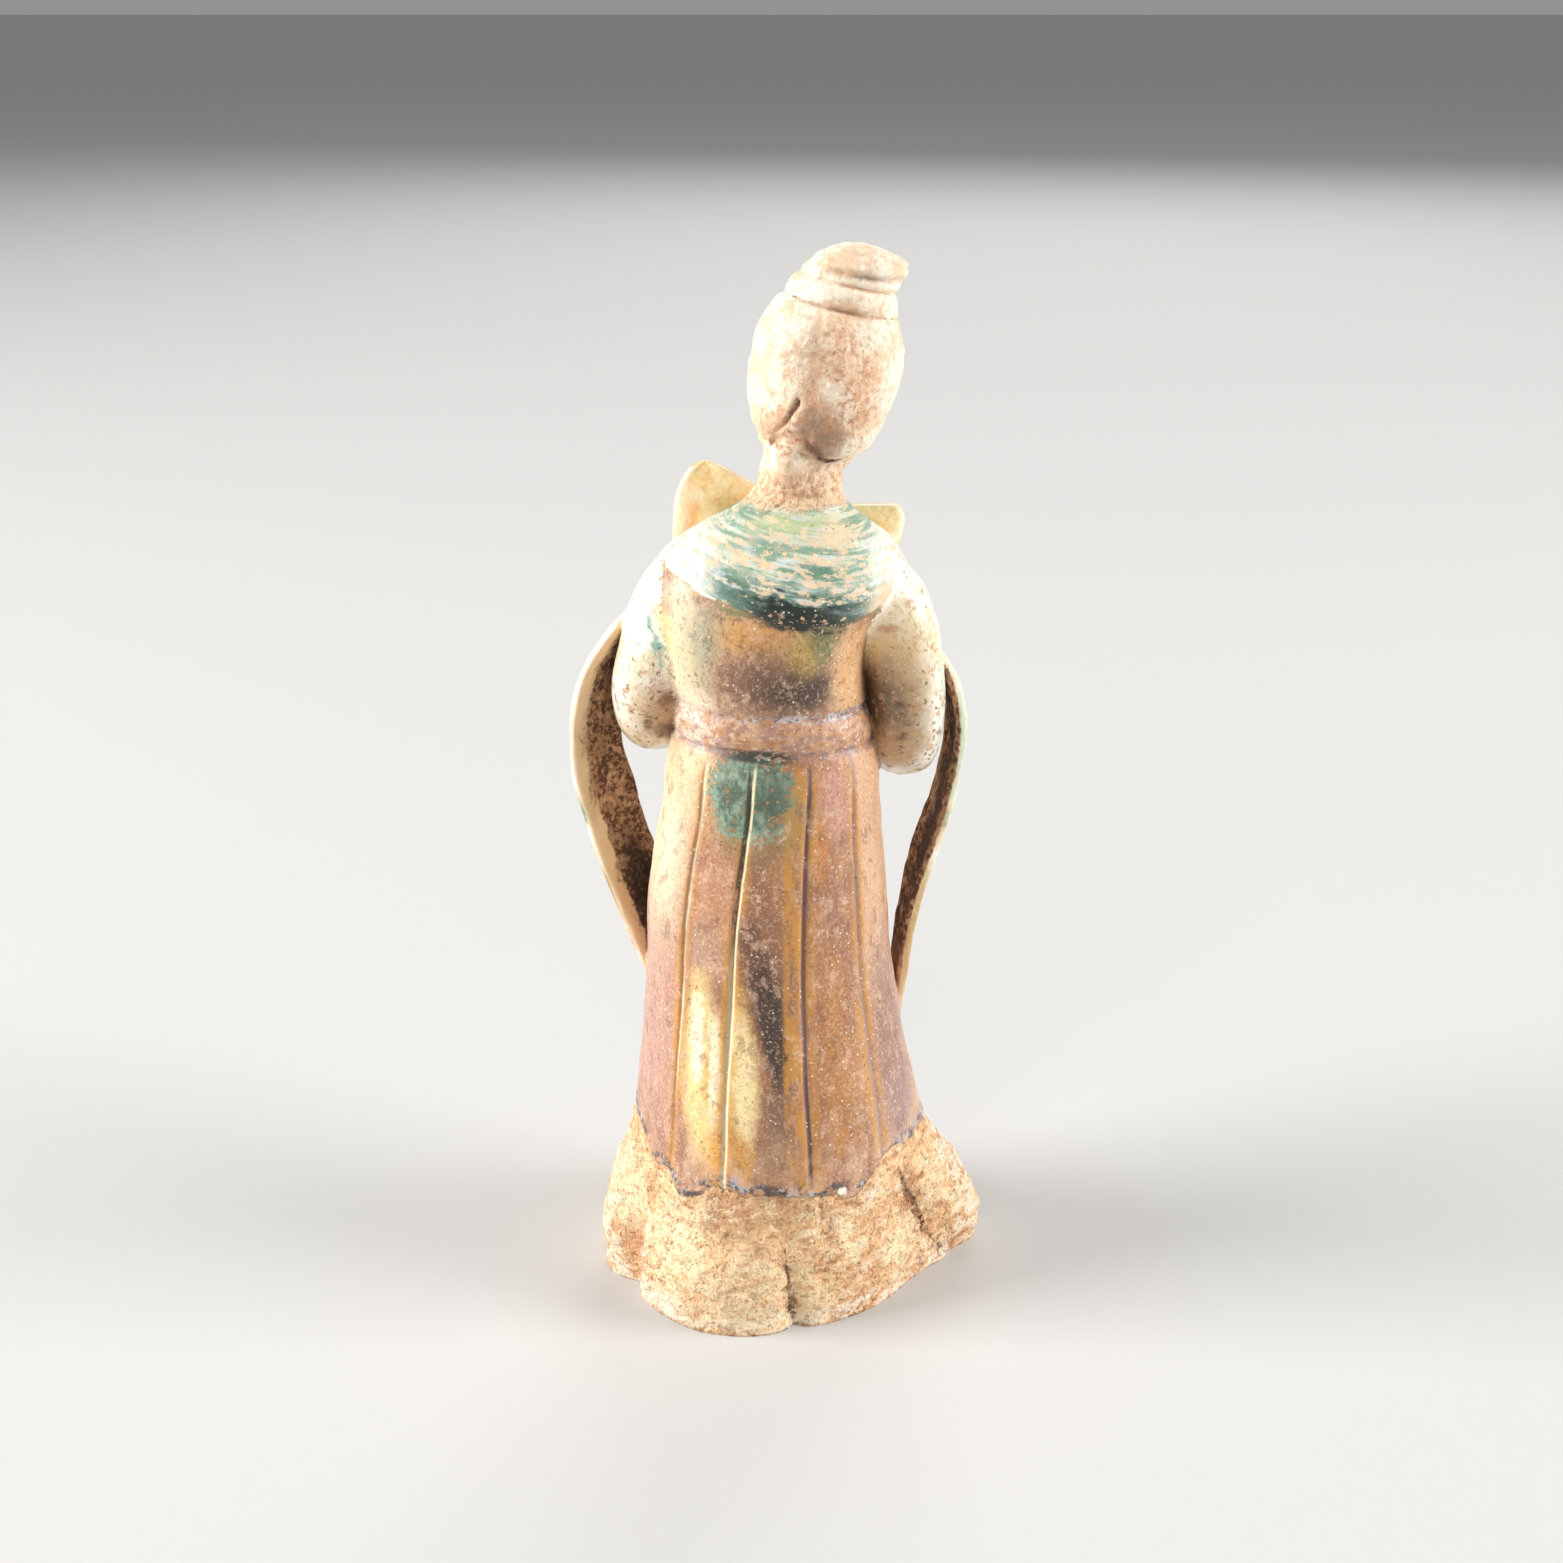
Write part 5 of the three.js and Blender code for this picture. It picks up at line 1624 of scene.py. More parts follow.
def paintDust(r, colour, darkSpecks, sown):
    x, y, z, haze, fine = r.x, r.y, r.z, r.haze, r.fine
    many = (sown + x.rise(14, -16) * 0.1 + (fine - 0.5) * 0.5).rise(0.46, 0.62)
    specks = (r.scatter(1.7, 31) - many * 0.08).rise(0.07, 0.03)
    front = y.rise(-1, -5) * z.rise(176, 181) * (1 - r.frontScarf)
    return r.coats(
        colour,
        (dust["frontAmber"], front * 0.9),
        (dust["bloom"], haze.rise(0.55, 0.68) * fine.rise(0.4, 0.6) * 0.6),
        (dust["lowBloom"], z.rise(54, 40) * haze.rise(0.42, 0.6) * 0.4),
        (dust["dirt"], r.hollow.rise(0.14, 0.4) * fine.rise(0.36, 0.6) * 0.6),
        (dust["speck"], specks * 0.85),
        (dust["darkSpeck"], darkSpecks * 0.6),
    )


# Bare clay below the edge of the glaze, with a dark blue bead along it in places, and at
# the neck and throat.
hemClay = {
    "beadDark": (58, 56, 60),
    "beadPale": (176, 174, 180),
    "mealDark": (184, 132, 90),
    "mealPale": (255, 229, 188),
    "neck": (238, 206, 168),
    "chip": (244, 236, 222),
}
# Stains on the bare clay of the hem and neck. The brown on the low lobe on her left and the broad brown
# along the crease on her right are painted shade.
hemStainsAndShade = [
    [(184, 136, 96), 0.65, (10, 36, 31), (17, 6, 5)],
    [(250, 206, 154), 0.45, (11, 38, 18), (17, 8, 12)],
    [(196, 138, 98), 0.6, (39, 14, 14), (6, 10, 6)],
    [(252, 238, 212), 0.6, (32, 32, 4), (8, 8, 3.6)],
    [(250, 226, 184), 0.6, (-39, 10, 25), (4, 8, 7)],
    [(252, 236, 196), 0.5, (42, 8, 26), (8, 14, 10)],
    [(190, 164, 144), 0.6, (-12.6, 33, 27), (1.8, 4, 2.2)],
    [(214, 164, 122), 0.5, (-7, 9, 207), (6, 6, 8)],
    [(178, 126, 88), 0.7, (-31, 15, 31), (-38, 9, 9), 3.4],
]
hemSlip = [
    [(255, 230, 184), 0.9, (8, 38, 15), (8, 7, 5.4)],
    [(255, 228, 184), 0.9, (14, 37, 8), (7, 7, 3.4)],
    [(255, 234, 196), 0.9, (5, 38, 3.4), (13, 7, 2.6)],
    [(255, 232, 186), 1.0, (-14.6, 33, 30), (-18, 32, 14), 2.6],
    [(255, 230, 180), 0.9, (-4, 37, 16), (-8, 36, 5), 2.4],
    [(255, 236, 190), 0.9, (26, 32, 20), (7, 8, 12)],
    [(255, 236, 190), 0.9, (-31, 22, 12), (6, 9, 7)],
]
# Dark lines in the creases of the hem. The wide one in the crease on her right is partly dirt and
# partly painted shadow.
hemCracksAndShadow = [
    [(110, 74, 50), 0.9, (0.6, 37, 25), (-1.2, 37, 8), 0.5],
    [(84, 54, 38), 1.0, (-0.9, 37, 10), (-1.4, 37, 4), 0.7],
    [(70, 44, 32), 1.0, (-29, 18, 33), (-37, 9.6, 12), 1.3],
    [(96, 62, 44), 0.9, (-34, 13, 19), (-41.4, 5, 3), 0.7],
]


def paintBareClay(r, colour, edge, bare):
    y, z, fine, haze, bent = r.y, r.z, r.fine, r.haze, r.bent
    clayColour, clayHeight = bareClay(r, 0.6)
    # Stains, with painted shade on the lobe on her left and along the crease on her right.
    clayColour = r.stain(clayColour, bent, hemStainsAndShade)
    clayColour = r.stain(clayColour, bent, hemSlip, r.cloud([3, 3, 2], 5, 93).rise(0.42, 0.5))
    mealy = r.cloud([2.4, 2.4, 1.5], 6, 96)
    clayColour = r.coats(
        clayColour,
        (hemClay["mealDark"], mealy.rise(0.44, 0.36) * 0.5),
        (hemClay["mealPale"], mealy.rise(0.55, 0.61) * 0.6),
    )
    # Crease lines, with painted shadow in the crease on her right.
    clayColour = r.stain(clayColour, r.wander(2, 1), hemCracksAndShadow)
    pale = z.rise(196, 201).most(y.rise(-2, -6) * z.rise(176, 182))
    clayColour = r.blend(clayColour, hemClay["neck"], pale * haze.rise(0.3, 0.46) * 0.85)

    beadColour = r.blend(hemClay["beadDark"], hemClay["beadPale"], (fine + haze).rise(0.98, 1.12))
    bead = edge.rise(0, 0.3) * edge.rise(3.8, 1.6) * r.cloud([7, 7, 3], 2, 140).rise(0.44, 0.54)
    deepBead = r.stroke(bent, (15, 35, 38.6), (-6, 35, 37.4), 0.9) * (fine + haze).rise(0.84, 1.0)
    chip = r.patch(r.wander(1.4, 2), (-14, 32, 35.4), (1.1, 3, 1.1), 0.15)
    colour = r.coats(
        colour,
        (beadColour, bead.most(deepBead) * 0.88),
        (clayColour, bare),
        (hemClay["chip"], chip),
    )
    return colour, clayHeight


def gownMaterial():
    r = Recipe("skirt and bodice glaze")
    x, y, z = r.x, r.y, r.z
    r.pleat, r.offPleat, r.overEdge = r.axes(r.attribute("flow", "Vector"))
    r.belt = z - gown["beltMiddle"] - x * gown["beltSlope"]
    r.byThird = x.between(-11.5, 0.6, 0.8)
    shoulder = abs(x + 1) - 8.5 - (204 - z) * 0.6
    r.frontScarf = y.rise(1.2, -0.4) * z.rise(172, 178) * shoulder.rise(-0.6, 0.6)
    r.bent = r.wander(7, 11)
    r.clouds = r.cloud([8, 8, 15], 5, 5.0)
    r.streaks = r.cloud([1.8, 1.8, 22], 4, 9.0)
    r.haze = r.cloud([5, 5, 7], 5, 15.0)
    r.crumb = r.cloud([1.7, 1.7, 1.2], 5, 57)
    r.fine = r.cloud(1.1, 4, 2.2)
    r.mottle = r.cloud(0.7, 4, 71)
    fine, haze = r.fine, r.haze

    colour = paintPleats(r, paintSplash(r, paintSkirt(r)))
    colour = r.blend(colour, paintBodice(r), z.rise(152, 155))
    colour = paintSash(r, paintScarf(r, paintBelt(r, colour)))
    # Armhole stains, with a painted highlight along the ridge.
    colour = r.stain(colour, r.bent, armholeStainsAndHighlight)
    sown = r.cloud(9, 3, 110)
    darkSpecks = r.scatter(1.7, 14).rise(0.16, 0.1) * (sown - (fine - 0.5) * 0.4).rise(0.5, 0.4)
    colour = paintDust(r, colour, darkSpecks, sown)

    edge = r.attribute("glazeEdge") + (r.cloud(4, 4, 130) - 0.5) * 4 + (fine - 0.5) * 1.4
    throat = (abs(x + 1.5) - (z - 181) * 0.42).rise(0.2, -0.5) * y.rise(-1, -5) * z.rise(181, 183)
    neck = (z + (haze - 0.5) * 5).rise(200.6, 202.2)
    bare = edge.rise(0.25, -0.25).most(neck).most(throat)
    colour, clayHeight = paintBareClay(r, colour, edge, bare)
    dusty = haze.rise(0.46, 0.66)
    roughness = 0.34 + dusty * 0.2 + bare * 0.4 + fine * 0.1
    height = bare * clayHeight + (1 - bare) * (fine * 0.35 + haze * 0.5 - darkSpecks * 0.5)
    return r.finish(colour, roughness, height, 0.6, (1 - bare) * (1 - dusty * 0.6) * 0.3)


# Head, hair and topknot: pale bare clay, dirty on the lower back and to her right, with dark dirt in
# the crack, in the creases of the topknot and at the nape. Painted shade lies under the overhang of the
# topknot's lobe and in narrow creases, and makes up part of the brown down the middle of the back of
# the head.
headClay = {
    "pale": (248, 236, 214),
    "buff": (236, 208, 174),
    "neck": (236, 204, 166),
    "softDirt": (210, 158, 120),
    "dirt": (200, 146, 110),
    "darkDirt": (146, 100, 72),
    "rubbed": (250, 238, 214),
    "tieEdge": (196, 146, 112),
    "tie": (96, 62, 44),
    "fold": (206, 154, 120),
    "lobeShade": (176, 134, 106),
    "lobeShadeCore": (108, 80, 62),
    "paint": (98, 76, 62),
    "lips": (196, 116, 92),
    "shade": (176, 130, 96),
    "deepCreaseShade": (104, 70, 50),
    "trace": (110, 90, 76),
}
# Browns on the back of the head: down its middle partly dirt and partly painted shade, and dirt low on
# it and towards her right.
headStainsAndShade = [
    [(208, 180, 148), 1.0, (-6, 14, 241), (-5, 15, 227), 6.4],
    [(200, 162, 132), 0.9, (-5.4, 15, 230), (-7, 12, 216), 6.2],
    [(146, 112, 88), 0.85, (-5.6, 14.4, 223), (-8.4, 10.6, 215), 3.9],
    [(150, 126, 104), 0.8, (-10, 11.8, 219), (4, 5, 6)],
    [(232, 192, 156), 0.6, (-14, 12, 243), (-14, 12, 222), 6.4],
]
crackStains = [
    [(96, 62, 44), 1.0, (-2.6, 13.2, 228.2), (0.2, 10.8, 221.8), 0.8],
    [(56, 34, 26), 1.0, (-1.4, 12.2, 225), (2.4, 8.4, 219), 0.85],
    [(110, 74, 52), 0.95, (1.4, 9.6, 220.4), (4.2, 6.4, 215.6), 0.9],
    [(214, 170, 132), 0.7, (0.6, 12, 225), (4, 8, 218), 2.4],
    [(104, 72, 52), 0.8, (-5, 11.4, 217.8), (-8, 9, 213.2), 1.5],
    [(80, 52, 38), 1.0, (-5.6, 9.4, 212.9), (-14, 5.2, 211.9), 0.8],
]


def headMaterial():
    r = Recipe("bare clay head")
    x, y, z = r.x, r.y, r.z
    bent = r.wander(5, 7)
    fine = r.cloud(1.3, 5, 2)
    grain = r.cloud(0.6, 3, 21)
    broad = r.cloud(9, 4, 6)
    crease = r.attribute("crease")
    flecks = fine * 0.7 + grain * 0.3
    mottled = (flecks * 0.6 + broad * 0.4).rise(0.4, 0.56)
    dirty = r.patch(bent, (-13, 12, 230), (8, 10, 14), 0.5)
    dirty = dirty.most(r.patch(bent, (1, 12, 219), (9, 10, 7), 0.5)).most(z.rise(212, 206)).most(0.2)
    soft = r.cloud([2.6, 2.6, 3.4], 5, 27)
    rubbed = r.patch(bent, (-10.4, 14, 229.4), (2.6, 5, 2.6))
    colour = r.blend(headClay["pale"], headClay["buff"], (broad + fine * 0.4).rise(0.62, 0.8))
    # Stains, partly painted shade down the middle of the back of the head.
    colour = r.stain(colour, bent, headStainsAndShade, mottled * 0.4 + 0.6)
    colour = r.coats(
        colour,
        (headClay["neck"], z.rise(213, 208) * 0.85),
        (headClay["softDirt"], soft.rise(0.46, 0.6) * dirty * 0.7),
        (headClay["dirt"], flecks.rise(0.48, 0.58) * dirty * 0.75),
        (headClay["darkDirt"], flecks.rise(0.57, 0.66) * dirty * 0.7),
        (headClay["rubbed"], rubbed * 0.6),
    )
    # Measures upright in the head: across it and up from its middle.
    c, s = math.cos(head["tilt"]), math.sin(head["tilt"])
    middleX, _, middleZ = head["centre"]
    across = (x - middleX) * c + (z - middleZ) * s
    up = (z - middleZ) * c - (x - middleX) * s
    wavy = up + (fine - 0.5) * 0.8
    slanted = wavy + across * 0.03
    onBack = y.rise(0, 3)
    tied = (wavy - 17.2).between(-0.35, 0.35, 0.3) * onBack
    fold = (wavy - 22.6).between(-0.3, 0.3, 0.3) * onBack
    # Painted shade under the overhang of the topknot's lobe along its parting, darkest at its core.
    lobeShade = (slanted - 25.3).between(-0.5, 0.5, 1.2) * onBack * across.between(-7, 4, 4)
    core = (slanted - 25.2).between(-0.3, 0.3, 0.6) * onBack * across.between(-7, -1, 2.4)
    colour = r.coats(
        colour,
        (headClay["tieEdge"], tied * across.between(-9, 9, 3) * 0.7),
        (headClay["tie"], tied * across.between(-4.4, 2.4, 2) * 0.85),
        (headClay["fold"], fold * across.between(-9, 2, 3) * 0.8),
        (headClay["lobeShade"], lobeShade * 0.8),
        (headClay["lobeShadeCore"], core * 0.85),
    )
    colour = r.stain(colour, r.wander(1.8, 1.2), crackStains)
    # Faint paint on the brows, eyes and lips, and traces of it on the hair over the face.
    onFace = y.rise(-7, -10)
    side = abs(across)
    offBrow = side - face["browMiddle"]
    brow = abs(up - face["brow"] + offBrow * offBrow * face["browBend"]).rise(0.6, 0.2)
    offEye = side - face["eyeMiddle"]
    eye = abs(up + 1.15 + offEye * offEye * face["lidBend"]).rise(0.5, 0.15)
    painted = (brow * side.between(1.8, 8, 0.6)).most(eye * abs(offEye).rise(3.3, 2.6))
    lips = abs(up - face["mouth"]).rise(1.9, 1.2) * side.rise(3.4, 2.2)
    trace = y.rise(-2, -8) * z.rise(234, 240) * r.cloud([3, 3, 7], 4, 33).rise(0.5, 0.62)
    colour = r.coats(
        colour,
        (headClay["paint"], painted * onFace * (fine * 0.5 + 0.35)),
        (headClay["lips"], lips * onFace * (fine * 0.4 + 0.3)),
        # Painted shade in narrow creases.
        (headClay["shade"], crease.rise(0.08, 0.2) * 0.4),
        (headClay["deepCreaseShade"], crease.rise(0.24, 0.44) * 0.7),
        (headClay["trace"], trace * 0.4),
    )
    return r.finish(colour, 0.62 + fine * 0.25, fine * 1.3 + grain * 0.5, 0.4)


# Sleeves: ivory glaze, browned and spotted towards the elbow, with brown that deepens towards her right
# armpit and lies low on her left sleeve, partly dirt and partly painted shade.
sleeveGlaze = {
    "ivory": (250, 246, 230),
    "cream": (242, 228, 192),
    "spot": (196, 150, 110),
    "darkSpot": (142, 98, 68),
    "fleck": (232, 190, 146),
    "dirt": (132, 94, 64),
}
# Stains on the sleeves. The tan low on her left sleeve and the brown that deepens towards her right
# armpit are partly dirt and partly painted shade.
sleeveStainsAndShade = [
    [(222, 184, 140), 0.7, (31, 4, 150), (8, 12, 9)],
    [(190, 144, 96), 0.8, (28.6, 5, 152), (3.4, 8, 7)],
    [(236, 202, 134), 0.8, (-22, 8, 168), (5, 8, 5.5)],
    [(222, 186, 128), 0.9, (-25, 7, 160), (9, 10, 14)],
    [(170, 136, 96), 1.0, (-25, 7, 151), (8, 10, 13)],
    [(118, 90, 60), 1.0, (-22, 7, 152), (6, 10, 10)],
    [(84, 60, 42), 1.0, (-19.2, 6.6, 162), (-20.2, 5, 140), 3],
    [(190, 150, 108), 0.75, (-27, 4, 141.6), (8, 10, 5)],
    [(186, 214, 204), 0.8, (-36.6, 5.6, 161), (-37.6, 3, 150), 1.1],
]
sleeveSpots = [
    [(112, 72, 48), 0.9, (28.6, 2, 145.4), (3.6, 7, 2.6)],
    [(126, 82, 54), 0.85, (28.4, 6.6, 154.4), (1.9, 5, 2)],
    [(132, 90, 58), 0.85, (33.2, 4.4, 147.6), (1.3, 4, 2)],
    [(116, 80, 54), 0.85, (-27, 8, 153.8), (1.2, 3, 1)],
    [(124, 86, 58), 0.85, (-27.8, 6, 144.8), (1.4, 3, 1.1)],
    [(196, 140, 100), 0.8, (-24, 10, 173), (2.6, 4, 1)],
]


def sleeveMaterial():
    r = Recipe("ivory sleeve glaze")
    bent = r.wander(6, 8)
    fine = r.cloud(1.3, 4, 8)
    broad = r.cloud(8, 5, 2)
    colour = r.blend(sleeveGlaze["ivory"], sleeveGlaze["cream"], broad.rise(0.44, 0.6))
    # Stains, with painted shade towards her right armpit and low on her left sleeve.
    colour = r.stain(colour, bent, sleeveStainsAndShade)
    colour = r.stain(colour, bent, armholeStainsAndHighlight)
    low = (r.z + (broad - 0.5) * 24).rise(170, 150) * (0.2 + 0.8 * r.y.rise(-14, 0))
    spots = (r.cloud(2.6, 5, 5) + low * 0.05).rise(0.6, 0.66)
    darkSpots = (r.cloud(1.6, 5, 15) + low * 0.05).rise(0.65, 0.69)
    flecks = fine * 0.6 + broad * 0.4
    colour = r.coats(
        colour,
        (sleeveGlaze["spot"], spots * 0.75),
        (sleeveGlaze["darkSpot"], darkSpots * 0.8),
        (sleeveGlaze["fleck"], flecks.rise(0.54, 0.64) * 0.55),
    )
    colour = r.stain(colour, r.wander(2.4, 3), sleeveSpots)
    colour = r.blend(colour, sleeveGlaze["dirt"], r.hollow.rise(0.12, 0.34) * 0.75)
    roughness = 0.3 + flecks.rise(0.5, 0.66) * 0.25 + darkSpots * 0.25 + fine * 0.1
    height = fine * 0.5 + darkSpots * 0.6 + flecks.rise(0.54, 0.64) * 0.4
    return r.finish(colour, roughness, height, 0.35, 0.55 - darkSpots * 0.5)


# Wings: cream and amber glaze, worn pale on the rims. The deeper amber on the outer face of her left
# wing, beyond its ridge, is partly glaze and partly painted shade.
wingGlaze = {
    "cream": (252, 232, 178),
    "amber": (240, 200, 128),
    "worn": (250, 238, 204),
    "fleck": (232, 186, 142),
    "dirt": (150, 104, 68),
}
# The first three deepen the amber on the outer face of her left wing: partly glaze, partly painted
# shade.
wingStainsAndShade = [
    [(238, 180, 96), 0.8, (24.6, -11, 203.6), (24.4, -11, 186), 4.0],
    [(230, 150, 58), 0.85, (22.8, -11, 197), (2.2, 6, 5)],
    [(216, 146, 84), 0.8, (24, -11, 190), (2.8, 6, 3.4)],
    [(242, 198, 122), 0.85, (-17, -10, 193.6), (-23, -10, 192.4), 2.2],
    [(252, 242, 190), 0.7, (-13, -11, 197), (-23, -11, 196.8), 1.1],
]


def wingMaterial():
    r = Recipe("amber wing glaze")
    fine = r.cloud(1.3, 5, 9)
    broad = r.cloud(5, 4, 4)
    colour = r.blend(wingGlaze["cream"], wingGlaze["amber"], (broad + fine * 0.4).rise(0.54, 0.86))
    # Stains, with painted shade on the outer face of her left wing.
    colour = r.stain(colour, r.wander(4, 5), wingStainsAndShade)
    colour = r.coats(
        colour,
        (wingGlaze["worn"], r.hollow.rise(-0.12, -0.3) * 0.6),
        (wingGlaze["fleck"], (fine * 0.6 + broad * 0.4).rise(0.54, 0.64) * 0.6),
        (wingGlaze["dirt"], r.hollow.rise(0.1, 0.3) * 0.7),
    )
    return r.finish(colour, 0.32 + fine * 0.2, fine, 0.3, 0.5)


# Scarf ends: ivory and green glaze outside, a brown earthy crust on the inner face, and a dark strip of
# painted shadow down each inner face.
scarfEndGlaze = {
    "ivory": (248, 240, 218),
    "cream": (236, 216, 176),
    "inside": (230, 192, 148),
    "grey": (206, 206, 198),
    "crust": (176, 132, 96),
    "darkCrust": (100, 68, 48),
    "paleCrust": (220, 176, 134),
    "dirt": (142, 98, 66),
    "foot": (206, 160, 116),
}
scarfEndStains = [
    [(96, 132, 106), 0.9, (50.4, -4, 129), (48.6, -4, 118), 3],
    [(86, 124, 98), 0.9, (45.4, -3, 108), (42, -3, 97), 3.4],
    [(198, 146, 80), 0.8, (48, -6, 118), (38, -2, 88), 3.4],
    [(206, 222, 200), 0.8, (-42.6, -4, 156), (-41, -4, 128), 4],
    [(116, 142, 108), 0.8, (-38.6, -4, 123), (-36.6, -4, 116), 2.4],
    [(194, 144, 76), 0.85, (-34, -5, 110), (-29, -3, 76), 4.4],
    [(200, 206, 138), 0.8, (-36.6, -1, 112), (-30.6, -1, 84), 1.8],
]
# Painted shadow: a dark strip down the inner face of each scarf end.
innerFaceShadows = [
    [(56, 38, 28), 0.9, (39, -7, 116), (33, -5, 90), 4.2],
    [(60, 42, 32), 0.85, (-41, -9, 146), (-32, -7, 92), 3.6],
]


def scarfMaterial():
    r = Recipe("scarf end glaze")
    inner, across = r.axes(r.attribute("flow", "Vector"))[:2]
    bent = r.wander(5, 7)
    fine = r.cloud(1.2, 5, 3)
    broad = r.cloud([5, 5, 8], 5, 6)
    inside = inner.rise(0.0, 0.4)
    rim = across.rise(0.2, 0.6) * r.x.rise(0, 4)
    crust = (inner - rim * 0.8 + (fine - 0.5) * 0.9 + (broad - 0.5) * 0.8).rise(0.18, 0.5)
    dark = r.cloud(1.3, 4, 44) * 0.7 + broad * 0.3 - r.z.rise(116, 98) * 0.05
    earth = r.blend(scarfEndGlaze["crust"], scarfEndGlaze["darkCrust"], dark.rise(0.53, 0.47))
    earth = r.blend(earth, scarfEndGlaze["paleCrust"], r.cloud(3, 5, 54).rise(0.5, 0.62) * 0.8)
    # The strips of painted shadow go over the crust.
    earth = r.stain(earth, bent, innerFaceShadows)
    glaze = (broad + fine * 0.3).rise(0.54, 0.8)
    colour = r.blend(scarfEndGlaze["ivory"], scarfEndGlaze["cream"], glaze)
    colour = r.stain(colour, bent, scarfEndStains)
    colour = r.coats(
        colour,
        (scarfEndGlaze["inside"], inside * 0.85),
        (scarfEndGlaze["grey"], r.patch(bent, (46.6, -6, 147), (2, 6, 6)) * inside * 0.8),
        (earth, crust),
        (scarfEndGlaze["dirt"], r.hollow.rise(0.12, 0.34) * 0.6),
        (scarfEndGlaze["foot"], (r.z + (broad - 0.5) * 8).rise(90, 76) * 0.75),
    )
    roughness = 0.36 + inside * 0.25 + crust * 0.25 + fine * 0.08
    height = crust * r.cloud(1.1, 4, 64) * 1.8 + fine * 0.5
    return r.finish(colour, roughness, height, 0.6, (1 - inside) * 0.5)


# Panpipes: amber glaze, darker in patches and pale where it is thin.
pipeGlaze = {
    "amber": (216, 152, 72),
    "brown": (182, 112, 48),
    "thin": (236, 200, 140),
    "dirt": (104, 70, 44),
}


def pipeMaterial():
    r = Recipe("amber pipe glaze")
    fine = r.cloud(1.2, 4, 5)
    broad = r.cloud([3, 6, 12], 4, 8)
    colour = r.coats(
        r.blend(pipeGlaze["amber"], pipeGlaze["brown"], broad.rise(0.42, 0.58)),
        (pipeGlaze["thin"], (broad * 0.5 + fine * 0.5).rise(0.54, 0.64) * 0.8),
        (pipeGlaze["dirt"], r.hollow.rise(0.1, 0.3) * 0.8),
    )
    return r.finish(colour, 0.34 + fine * 0.2, fine, 0.3, 0.4)


def handMaterial():
    r = Recipe("bare clay hands and shoes")
    colour, height = bareClay(r, 1.6)
    return r.finish(colour, 0.74, height, 0.3)


# Each part number has its material. The shoes are bare clay like the hem and the hands.
dressing = {
    "makers": [
        gownMaterial, headMaterial, sleeveMaterial, wingMaterial, scarfMaterial, pipeMaterial,
        handMaterial,
    ],
    "slotOfPart": {
        gownPart: 0, headPart: 1, armPart: 2, wingPart: 3, scarfPart: 4, pipePart: 5,
        handPart: 6, shoePart: 6,
    },
    "neckFoot": 203.5,  # over this height the gown is neck, and is dressed as the head
}


def dressFigure(mesh):
    mesh.materials.clear()
    for maker in dressing["makers"]:
        mesh.materials.append(maker())
    number = np.round(readCorners(mesh, "partNumber", "value", 1)[:, 0])
    starts = np.empty(len(mesh.polygons), int)
    mesh.polygons.foreach_get("loop_start", starts)
    slotOf = np.zeros(shoePart + 1, int)
    for part, slot in dressing["slotOfPart"].items():
        slotOf[part] = slot
    slots = slotOf[number[starts].astype(int)]
    middles = np.empty(len(mesh.polygons) * 3)
    mesh.polygons.foreach_get("center", middles)
    onNeck = middles[2::3] > dressing["neckFoot"] * millimetre
    slots[onNeck & (slots == 0)] = 1
    mesh.polygons.foreach_set("material_index", slots)
    mesh.polygons.foreach_set("use_smooth", np.ones(len(mesh.polygons), bool))
    points = readPoints(mesh)
    layer = mesh.attributes.new("glazeEdge", "FLOAT", "POINT")
    layer.data.foreach_set("value", points[:, 2] - glazeFoot(points[:, 0]))
    mesh.update()


def addFigure():
    makeGown()
    for hand in ("left", "right"):
        makeSleeve(hand)
        makeWing(hand)
        makeScarfEnd(hand)
        makeHand(hand)
    makeHead()
    makeTopknot()
    makePipes()
    makeShoesBowAndNape()
    print("parts made:", len(parts))
    mesh = makeFigure()
    mesh.name = "musicianFigure"
    dressFigure(mesh)
    figure = bpy.data.objects.new("musicianFigure", mesh)
    bpy.context.scene.collection.objects.link(figure)
    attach(figure, "root")
    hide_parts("figure")


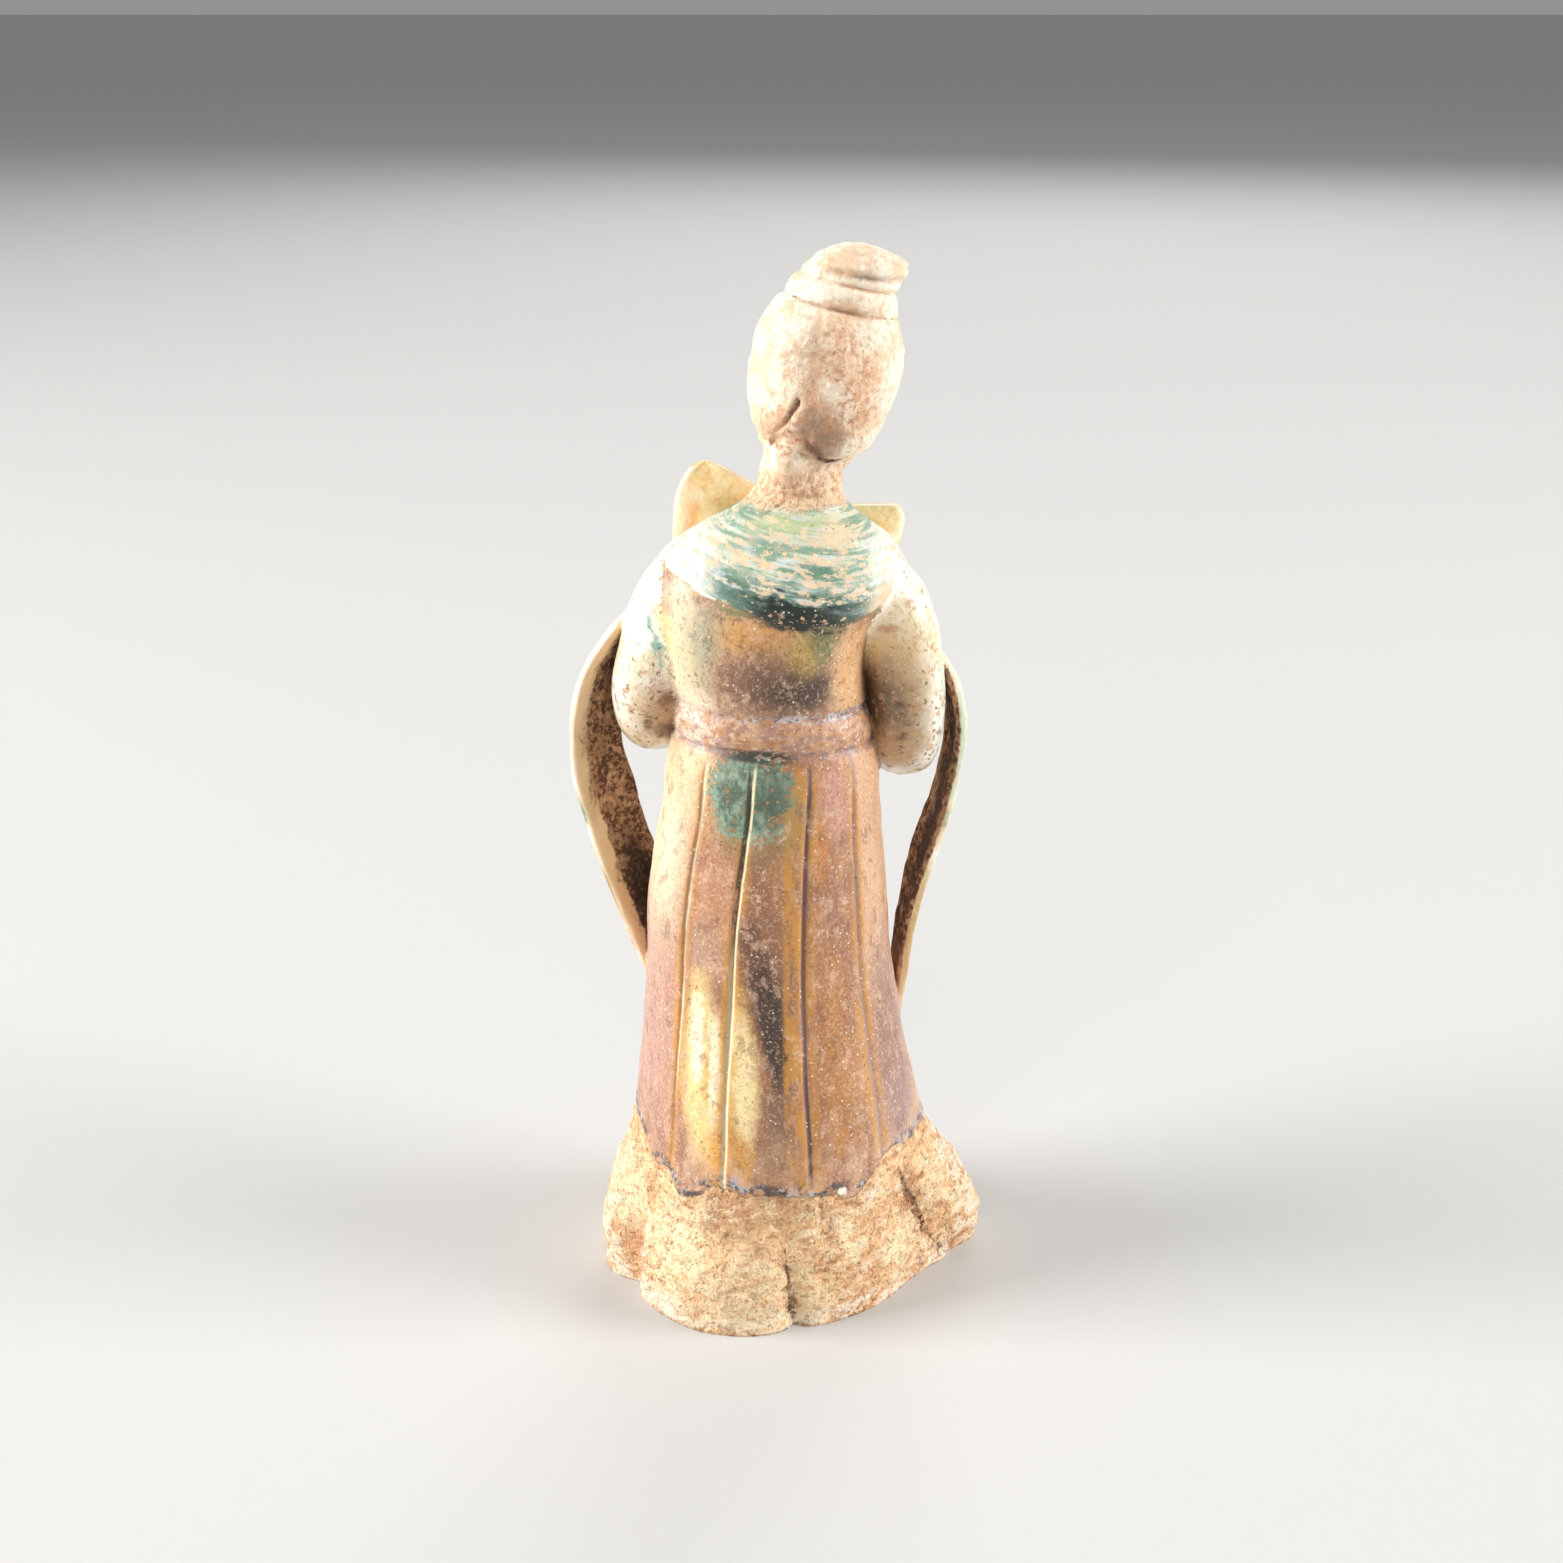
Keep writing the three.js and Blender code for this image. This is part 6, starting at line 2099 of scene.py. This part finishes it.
# Floor, lights and camera. Places and sizes are in metres, power in watts.
studio = {
    "floorHalf": 40.0,
    "floorColour": (0.62, 0.61, 0.59, 1),
    "floorRoughness": 0.9,
    # Name, place, power, width and height.
    "lights": [
        ["sideLeft", (2.4, 0.3, 1.1), 100.0, 1.3, 2.2],
        ["sideRight", (-2.4, 0.4, 1.1), 74.0, 1.3, 2.2],
        ["behindCamera", (0.8, 3.0, 2.4), 22.0, 2.0, 1.6],
        ["frontSide", (-0.6, -3.0, 2.0), 40.0, 2.0, 1.6],
    ],
    "lightsAim": (0, 0, 0.13),
    "airColour": (0.95, 0.97, 1, 1),
    "airStrength": 0.3,
    "cameraPlace": (0.0011, 0.5, 0.3125),
    "cameraPitch": 19.9,
    "focalLength": 49.98,
    "sensor": 36,
}


def addStudio():
    half = studio["floorHalf"]
    mesh = bpy.data.meshes.new("floor")
    corners = [(-half, -half, 0), (half, -half, 0), (half, half, 0), (-half, half, 0)]
    mesh.from_pydata(corners, [], [(0, 1, 2, 3)])
    floor = bpy.data.objects.new("floor", mesh)
    paper = bpy.data.materials.new("pale paper")
    paper.use_nodes = True
    shader = paper.node_tree.nodes["Principled BSDF"]
    shader.inputs["Base Color"].default_value = studio["floorColour"]
    shader.inputs["Roughness"].default_value = studio["floorRoughness"]
    mesh.materials.append(paper)
    bpy.context.scene.collection.objects.link(floor)

    for light in studio["lights"]:
        addLight(*light)
    world = bpy.data.worlds.new("studio air")
    world.use_nodes = True
    air = world.node_tree.nodes["Background"]
    air.inputs["Color"].default_value = studio["airColour"]
    air.inputs["Strength"].default_value = studio["airStrength"]
    bpy.context.scene.world = world
    bpy.context.scene.view_settings.view_transform = "Standard"

    data = bpy.data.cameras.new("camera")
    data.lens = studio["focalLength"]
    data.sensor_width = studio["sensor"]
    camera = bpy.data.objects.new("camera", data)
    camera.location = studio["cameraPlace"]
    camera.rotation_euler = (math.radians(90 - studio["cameraPitch"]), 0, math.pi)
    bpy.context.scene.collection.objects.link(camera)
    bpy.context.scene.camera = camera


def addLight(name, place, power, width, height):
    data = bpy.data.lights.new(name, "AREA")
    data.shape = "RECTANGLE"
    data.size = width
    data.size_y = height
    data.energy = power
    light = bpy.data.objects.new(name, data)
    light.location = place
    aim = np.array(studio["lightsAim"]) - np.array(place)
    yaw = math.atan2(aim[1], aim[0]) - math.pi / 2
    pitch = math.atan2(aim[2], math.hypot(aim[0], aim[1]))
    light.rotation_euler = (math.pi / 2 + pitch, 0, yaw)
    bpy.context.scene.collection.objects.link(light)


addFigure()
print("figure dressed")
addStudio()
print("studio set")
